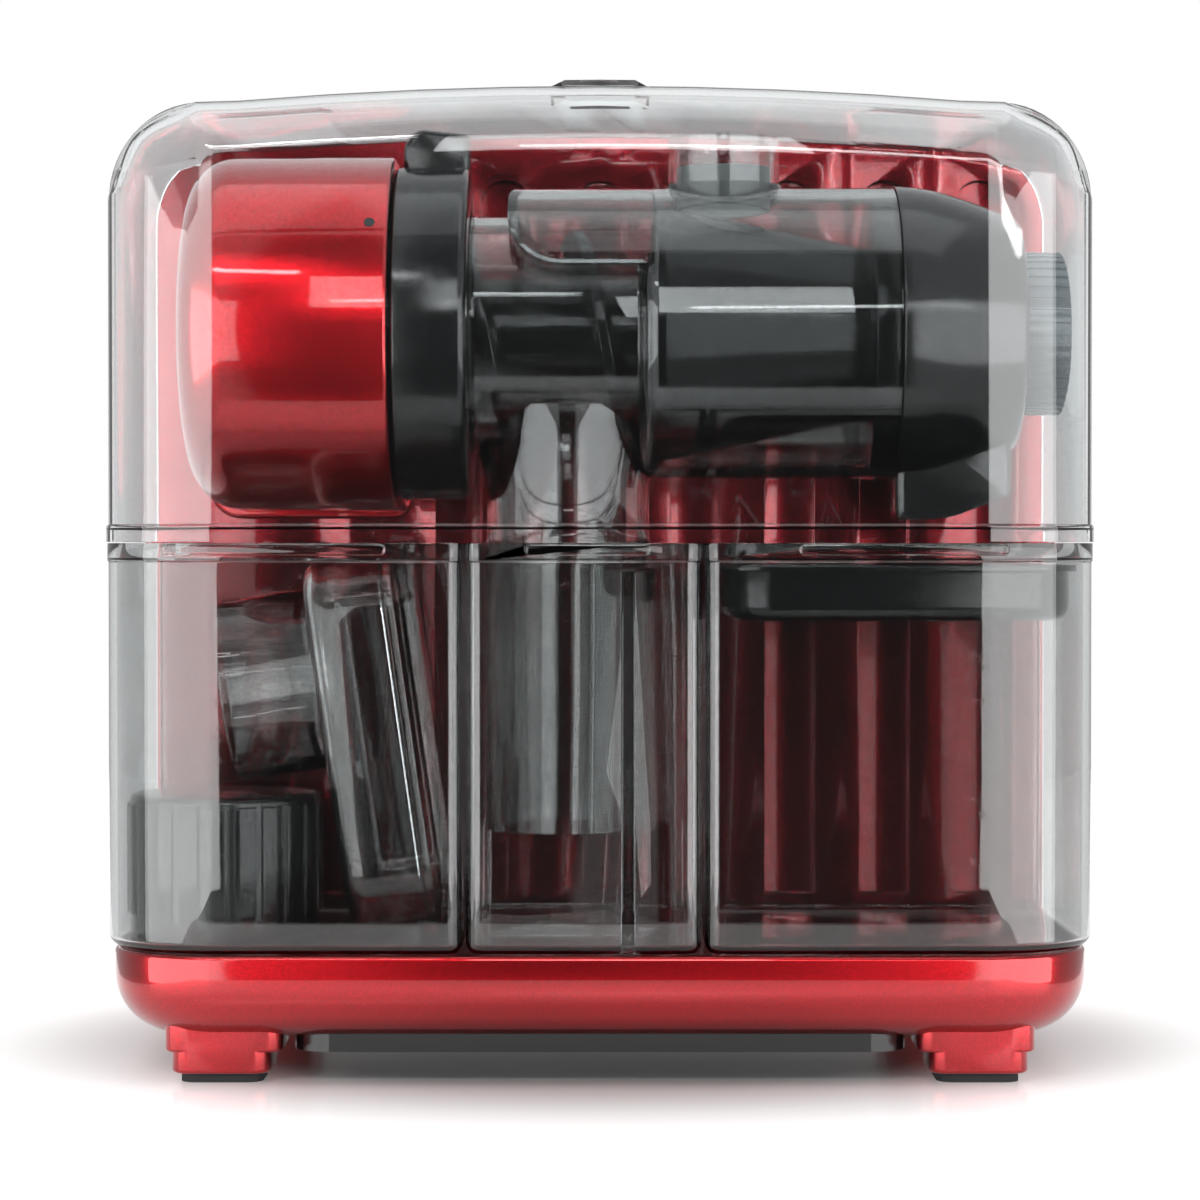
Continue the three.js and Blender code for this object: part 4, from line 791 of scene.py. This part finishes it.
def makeKnob():
    k = knob
    y, z = drumAxis.y, drumAxis.z
    grip = rod("pressure_knob_grip", (k["left"], y, z), (k["right"], y, z), k["radius"] - k["rib"], 4 * k["ribs"])

    def onRib(at, normal):
        turn = math.degrees(math.atan2(at.z - z, at.y - y)) % 360
        return abs(normal.x) < 0.1 and int(turn / (90 / k["ribs"]) + 0.01) % 4 in (0, 1)

    pick(grip, "FACE", onRib)
    bpy.ops.mesh.extrude_region_shrink_fatten(TRANSFORM_OT_shrink_fatten={"value": k["rib"] * mm})
    leaveEdit()
    face = turned("face", [(k["right"] - 0.4, 0, 0), (k["right"] - 0.4, 25.6, 0),
                           (k["dome"] - 0.5, 23.5, 1.6), (k["dome"], 10, 0), (k["dome"], 0, 0)], 96)
    weld(grip, face)
    weld(grip, rod("spindle", (115, y, z), (136, y, z), k["spindle"], 48))
    softenEdges(grip, 0.2, 2, 40)
    settle(grip, "blueGreyAbs", "knob", ["pressure_knob"], 40)


makeCap()
makeKnob()
print("cap and knob modelled")


# storage hood
hood = {"halfWidth": 155, "front": -102.5, "back": 15.7, "bottom": 167.6, "shoulder": 303.5, "wall": 2.5,
        "frontCorner": 36, "topCorner": 29, "topEdge": 22, "bead": 172.4, "padX": (84, 122), "padY": (-70, 4),
        "padSlope": 4, "padRise": 1.0, "tabX": 15.5, "tabY": (-83, -58), "tabSlope": 4.5, "tabRise": 2.4,
        "beadOut": (1.004, 1.006, 1)}


def weighEdges(piece, share, test):
    pick(piece, "EDGE", test)
    bpy.ops.transform.edge_bevelweight(value=share)
    leaveEdit()


def roundWeighed(piece, radius, steps):
    useModifier(piece, "BEVEL", {"width": radius * mm, "segments": steps, "limit_method": "WEIGHT",
                                 "use_clamp_overlap": False})


def raisePad(piece, left, right, near, far, slope, rise):
    for x in (left, left + slope, right - slope, right):
        sliceAt(piece, (x, 0, 0), (1, 0, 0))
    for y in (near, near + slope, far - slope, far):
        sliceAt(piece, (0, y, 0), (0, 1, 0))
    slide(piece, lambda at: at.z > 290 and left + slope - 0.01 < at.x < right - slope + 0.01
          and near + slope - 0.01 < at.y < far - slope + 0.01, (0, 0, rise))


def makeHood():
    h = hood
    shell = crownedBlock("storage_hood_shell", h["halfWidth"], h["front"], h["back"], h["bottom"], h["shoulder"],
                         h["topCorner"])
    dropFaces(shell, lambda at, normal: normal.z < -0.9 or normal.y > 0.9)
    weighEdges(shell, 1.0,
               lambda at, way: upright(at, way) and at.y < h["front"] + 0.1 and abs(at.x) > h["halfWidth"] - 0.1)
    weighEdges(shell, h["topCorner"] / h["frontCorner"],
               lambda at, way: frontToBack(at, way) and abs(at.x) > h["halfWidth"] - 0.1 and at.z > 200)
    weighEdges(shell, h["topEdge"] / h["frontCorner"],
               lambda at, way: abs(way.z) < 0.5 and at.y < h["front"] + 0.1 and at.z > 290)
    roundWeighed(shell, h["frontCorner"], 14)
    raisePad(shell, -h["padX"][1], -h["padX"][0], *h["padY"], h["padSlope"], h["padRise"])
    raisePad(shell, h["padX"][0], h["padX"][1], *h["padY"], h["padSlope"], h["padRise"])
    raisePad(shell, -h["tabX"], h["tabX"], *h["tabY"], h["tabSlope"], h["tabRise"])
    sliceAt(shell, (0, 0, h["bead"]), (0, 0, 1))
    sliceAt(shell, (0, 0, h["bead"] + 0.7), (0, 0, 1))
    swell(shell, lambda at: at.z < h["bead"] + 0.01, h["beadOut"], (0, h["back"], 170))
    tidyMesh(shell)
    thicken(shell, h["wall"])
    softenEdges(shell, 0.4, 2, 60)
    settle(shell, "clearHoodPlastic", "hood", ["storage_hood"], 25)


makeHood()
print("hood modelled")


# bins
bins = {"front": -102.5, "back": 14.4, "bottom": 41.1, "top": 167.2, "wall": 2.5, "corner": 36, "small": 4.5,
        "floorEdge": 3.4, "rim": 161.2, "rimProud": 0.35, "lip": (1.3, 163.4, 167.0),
        "divider": (6.6, 10.6), "dividerDeep": 22, "dividerTop": 158}


def makeBin(called, low, high, leftCorner, rightCorner, lipFrom, lipTo, body, node):
    b = bins
    shell = block(called, (low, b["front"], b["bottom"]), (high, b["back"], b["top"]))
    dropFaces(shell, lambda at, normal: normal.z > 0.9)
    corners = {(low, -1): leftCorner, (high, -1): rightCorner, (low, 1): b["small"], (high, 1): b["small"]}
    for (x, side), radius in corners.items():
        roundEdges(shell, radius, 14 if radius > 10 else 6,
                   lambda at, way: upright(at, way) and abs(at.x - x) < 0.1 and (at.y + 40) * side > 0)
    roundEdges(shell, b["floorEdge"], 5, lambda at, way: at.z < b["bottom"] + 0.01)
    sliceAt(shell, (0, 0, b["rim"]), (0, 0, 1))
    sliceAt(shell, (0, 0, b["rim"] + 0.6), (0, 0, 1))
    middle, width, depth = (low + high) / 2, high - low, b["back"] - b["front"]
    proud = 2 * b["rimProud"]
    swell(shell, lambda at: at.z > b["rim"] + 0.5, (1 + proud / width, 1 + proud / depth, 1),
          (middle, (b["front"] + b["back"]) / 2, 165))
    tidyMesh(shell)
    thicken(shell, b["wall"])
    out, lipLow, lipHigh = b["lip"]
    lip = block("lip", (lipFrom, b["front"] - out, lipLow), (lipTo, b["front"] + 1.2, lipHigh))
    roundEdges(lip, 1.7, 5, frontToBack)
    roundEdges(lip, 0.7, 3, lambda at, way: at.y < b["front"] - out + 0.01)
    weld(shell, lip)
    if node == "middle_bin":
        left, right = b["divider"]
        inner = b["front"] + b["dividerDeep"]
        divider = block("divider", (left, b["front"] + 1.4, b["bottom"] + 1.5), (right, inner, b["dividerTop"]))
        roundEdges(divider, 0.8, 3, lambda at, way: at.y > inner - 0.1 and abs(way.z) > 0.9)
        weld(shell, divider)
    softenEdges(shell, 0.5, 3, 60)
    settle(shell, "smokeClearPlastic", body, [node], 25)


makeBin("left_bin_shell", -155, -42.2, bins["corner"], bins["small"], -134, -65.6, "left_drawer", "left_bin")
makeBin("middle_bin_shell", -41.2, 31.2, bins["small"], bins["small"], -23, 15.3, "middle_drawer", "middle_bin")
makeBin("right_bin_shell", 32.2, 155, bins["small"], bins["corner"], 61, 125, "right_drawer", "right_bin")
print("bins modelled")


# tray in the right-hand bin
tray = {"low": (41.2, -93.5), "high": (146, 5.4), "bottom": 145, "top": 160.4, "flange": 4, "wall": 2,
        "leftCorner": 12, "frontCorner": 27, "rearCorner": 6}


def makeTray():
    t = tray
    pan = block("drip_tray_pan", (*t["low"], t["bottom"]), (*t["high"], t["top"]))
    dropFaces(pan, lambda at, normal: normal.z > 0.9)
    roundEdges(pan, t["leftCorner"], 6, lambda at, way: upright(at, way) and at.x < 100)
    roundEdges(pan, t["frontCorner"], 8, lambda at, way: upright(at, way) and at.x > 100 and at.y < 0)
    roundEdges(pan, t["rearCorner"], 5, lambda at, way: upright(at, way) and at.x > 100 and at.y > 0)
    roundEdges(pan, 3, 4, lambda at, way: at.z < t["bottom"] + 0.01)
    pick(pan, "EDGE", lambda at, way: at.z > t["top"] - 0.01)
    bpy.ops.mesh.extrude_edges_move()
    leaveEdit()
    middle = ((t["low"][0] + t["high"][0]) / 2, (t["low"][1] + t["high"][1]) / 2, 150)
    width, depth = t["high"][0] - t["low"][0], t["high"][1] - t["low"][1]
    hold(pan)
    bpy.ops.object.mode_set(mode="EDIT")
    bpy.ops.transform.resize(value=(1 + 2 * t["flange"] / width, 1 + 2 * t["flange"] / depth, 1),
                             center_override=Vector(middle) * mm)
    leaveEdit()
    tidyMesh(pan)
    thicken(pan, t["wall"])
    softenEdges(pan, 0.4, 2, 45)
    settle(pan, "satinBlackAbs", "right_drawer", ["drip_tray"])


makeTray()


# hopper dish and fluted cap kept in the left-hand bin
hopper = {"place": (-86, -42, 102.4), "lean": -8, "height": 119, "depth": 92, "thickness": 28, "wall": 2.2,
          "corner": 20, "backEdge": 7, "collar": 29.5, "collarUp": 22, "collarLong": 31}


def makeHopper():
    h = hopper
    dish = block("hopper_dish", (0, -h["depth"] / 2, -h["height"] / 2),
                 (h["thickness"], h["depth"] / 2, h["height"] / 2))
    dropFaces(dish, lambda at, normal: normal.x > 0.9)
    roundEdges(dish, h["corner"], 9, sideToSide)
    roundEdges(dish, h["backEdge"], 6, lambda at, way: at.x < 0.01)
    sliceAt(dish, (h["thickness"] - 3, 0, 0), (1, 0, 0))
    sliceAt(dish, (h["thickness"] - 2.4, 0, 0), (1, 0, 0))
    swell(dish, lambda at: at.x > h["thickness"] - 2.5, (1, 0.985, 0.988), (0, 0, 0))
    tidyMesh(dish)
    thicken(dish, h["wall"])
    collar = turned("collar", [(-h["collarLong"], h["collar"] - 2.4, 0.6), (-h["collarLong"], h["collar"], 0.6),
                               (1.1, h["collar"], 0), (1.1, h["collar"] - 2.4, 0)], 96, True,
                    Vector((0, 0, h["collarUp"])))
    hole = rod("hole", (-5, 0, h["collarUp"]), (h["thickness"] - 10, 0, h["collarUp"]), h["collar"] - 2.5, 96)
    cut(dish, hole)
    weld(dish, collar)
    softenEdges(dish, 0.4, 2, 55)
    everything(dish)   # leans against the bin's side; with no window a turn goes the other way round
    bpy.ops.transform.rotate(value=-math.radians(h["lean"]), orient_axis="Y", center_override=(0, 0, 0))
    leaveEdit()
    slide(dish, lambda at: True, h["place"])
    settle(dish, "smokeClearPlastic", "left_drawer", ["hopper"], 28)


fluted = {"x": -119.5, "y": -60, "bottom": 44.4, "top": 88.2, "radius": 30.4, "flutes": 22, "rise": 0.9,
          "wall": 2.8, "skirt": 6.5, "crown": 3}


def makeFlutedCap():
    f = fluted
    body = rod("fluted_cap_body", (f["x"], f["y"], f["bottom"]), (f["x"], f["y"], f["top"]), f["radius"],
               4 * f["flutes"])
    sliceAt(body, (0, 0, f["bottom"] + f["skirt"]), (0, 0, 1))
    sliceAt(body, (0, 0, f["top"] - f["crown"]), (0, 0, 1))

    def onRib(at, normal):
        turn = math.degrees(math.atan2(at.y - f["y"], at.x - f["x"])) % 360
        return (abs(normal.z) < 0.1 and f["bottom"] + f["skirt"] < at.z < f["top"] - f["crown"]
                and int(turn / (90 / f["flutes"]) + 0.01) % 4 != 0)

    pick(body, "FACE", onRib)
    bpy.ops.mesh.extrude_region_shrink_fatten(TRANSFORM_OT_shrink_fatten={"value": f["rise"] * mm})
    leaveEdit()
    roundEdges(body, 2.2, 4, lambda at, way: at.z > f["top"] - 0.01)
    bore = rod("bore", (f["x"], f["y"], f["bottom"] - 2), (f["x"], f["y"], f["top"] - 3),
               f["radius"] - f["wall"], 80)
    cut(body, bore)
    softenEdges(body, 0.35, 2, 38)
    settle(body, "satinBlackAbs", "left_drawer", ["fluted_cap"], 40)


makeHopper()
makeFlutedCap()
print("stored pieces modelled")


# floor and light
# near and far are (distance back, half width) of the table in mm; the pool of painted shadow is in metres
studio = {"near": (-290, 215), "far": (1200, 560), "glow": 0.7, "shadowPool": (0.25, 0.19), "front": 0.06,
          "around": 0.42, "tilt": 0.16}


def makeFloor():   # a white table that glows like back-lit acrylic and lights the machine from below as a stand-in lamp, with a painted shadow where the machine stands: the glow fades to nothing in a pool under it
    (near, nearHalf), (far, farHalf) = studio["near"], studio["far"]
    floor = pulled("studio_table", [((-nearHalf, near, 0), 30), ((nearHalf, near, 0), 30), ((farHalf, far, 0), 60),
                                    ((-farHalf, far, 0), 60)], (0, 0, -6))
    tree, output, place = startLook("glowingTablePaintedShadow")
    cloud = addNode(tree, "ShaderNodeTexNoise", {"Scale": perMillimetre(900)}, {"Vector": place})
    colour = addNode(tree, "ShaderNodeMix", {"data_type": "RGBA", 6: linear("#F2F2F2"), 7: linear("#F8F8F8")},
                     {0: cloud.outputs["Fac"]})
    wide, deep = studio["shadowPool"]
    spread = addNode(tree, "ShaderNodeMapping", {"Scale": (1 / wide, 1 / deep, 1)}, {"Vector": place})
    shadowPool = addNode(tree, "ShaderNodeTexGradient", {"gradient_type": "SPHERICAL"}, {"Vector": spread.outputs[0]})
    # painted shadow: the glow is cut to nothing inside the pool under the machine
    glow = addNode(tree, "ShaderNodeMapRange",
                   {"interpolation_type": "SMOOTHSTEP", "From Min": 0.0, "From Max": 0.55,
                    "To Min": studio["glow"], "To Max": 0.0}, {"Value": shadowPool.outputs["Fac"]})
    shader = addNode(tree, "ShaderNodeBsdfPrincipled",
                     {"Roughness": 0.2, "IOR": 1.49, "Emission Color": (1, 1, 1, 1)},
                     {"Base Color": colour.outputs[2], "Emission Strength": glow.outputs[0]})
    tree.links.new(shader.outputs[0], output.inputs["Surface"])
    floor.data.materials.append(looks["glowingTablePaintedShadow"])


def makeWorld():   # a light tent: white all round behind the machine, dark through the opening in front
    world = bpy.data.worlds.new("lightTent")
    bpy.context.scene.world = world
    world.use_nodes = True
    tree = world.node_tree
    tree.nodes.clear()
    output = addNode(tree, "ShaderNodeOutputWorld")
    way = addNode(tree, "ShaderNodeSeparateXYZ", {}, {0: addNode(tree, "ShaderNodeTexCoord").outputs["Generated"]})
    aside = addNode(tree, "ShaderNodeMath", {"operation": "ABSOLUTE"}, {0: way.outputs["X"]})
    past = addNode(tree, "ShaderNodeMath", {"operation": "MULTIPLY_ADD", 1: studio["tilt"]},
                   {0: way.outputs["Y"], 2: aside.outputs[0]})
    tent = addNode(tree, "ShaderNodeMapRange", {"From Min": 0.0, "From Max": 0.05}, {"Value": past.outputs[0]})
    ray = addNode(tree, "ShaderNodeLightPath")
    level = addNode(tree, "ShaderNodeMapRange", {"To Min": studio["around"], "To Max": 1.0},
                    {"Value": ray.outputs["Is Transmission Ray"]})
    lit = addNode(tree, "ShaderNodeMath", {"operation": "MULTIPLY_ADD", 2: studio["front"]},
                  {0: tent.outputs[0], 1: level.outputs[0]})
    strength = addNode(tree, "ShaderNodeMath", {"operation": "MAXIMUM"},
                       {0: lit.outputs[0], 1: ray.outputs["Is Camera Ray"]})
    background = addNode(tree, "ShaderNodeBackground", {"Color": (1, 1, 1, 1)}, {"Strength": strength.outputs[0]})
    tree.links.new(background.outputs[0], output.inputs["Surface"])


def addLamp(called, lamp):   # brightness is the radiance of the panel; sheen lamps show only in reflections
    dropSelection()
    bpy.ops.object.light_add(type="AREA", location=lamp["place"])
    panel = bpy.context.object
    panel.name = called
    panel.data.shape = "RECTANGLE"
    panel.data.size, panel.data.size_y = lamp["size"]
    panel.data.energy = math.pi * lamp["size"][0] * lamp["size"][1] * lamp["brightness"]
    panel.rotation_euler = (Vector(lamp["aim"]) - Vector(lamp["place"])).to_track_quat("-Z", "Y").to_euler()
    panel.visible_diffuse = not lamp.get("sheen", False)


lamps = {
    "topSoftbox": {"place": (0, -0.15, 1.4), "aim": (0, -0.05, 0), "size": (1.4, 1.0), "brightness": 1.3},
    "leftStrip": {"place": (-0.37, -1.0, 0.96), "aim": (-0.1, -0.1, 0.25), "size": (0.47, 0.05),
                  "brightness": 30},
    "frontWindow": {"place": (0.015, -1.1, 0.68), "aim": (0.0, -0.1, 0.24), "size": (0.25, 0.4),
                    "brightness": 5.5, "sheen": True},
    "rightStrip": {"place": (0.42, -1.1, 0.6), "aim": (0.1, -0.1, 0.28), "size": (1.0, 0.04),
                   "brightness": 12, "sheen": True},
    "leftPanel": {"place": (-0.86, -0.85, 0.2), "aim": (-0.1, -0.1, 0.2), "size": (1.5, 0.9),
                  "brightness": 3.8, "sheen": True},
    "rightPanel": {"place": (0.86, -0.85, 0.2), "aim": (0.1, -0.1, 0.2), "size": (1.5, 0.9),
                   "brightness": 3.8, "sheen": True},
}
makeFloor()
makeWorld()
for called, lamp in lamps.items():
    addLamp(called, lamp)
bpy.context.scene.view_settings.view_transform = "Standard"
bpy.context.scene.cycles.max_bounces = 40
bpy.context.scene.cycles.transmission_bounces = 36   # many clear walls lie one behind another
bpy.context.scene.cycles.transparent_max_bounces = 32
print("stage set")
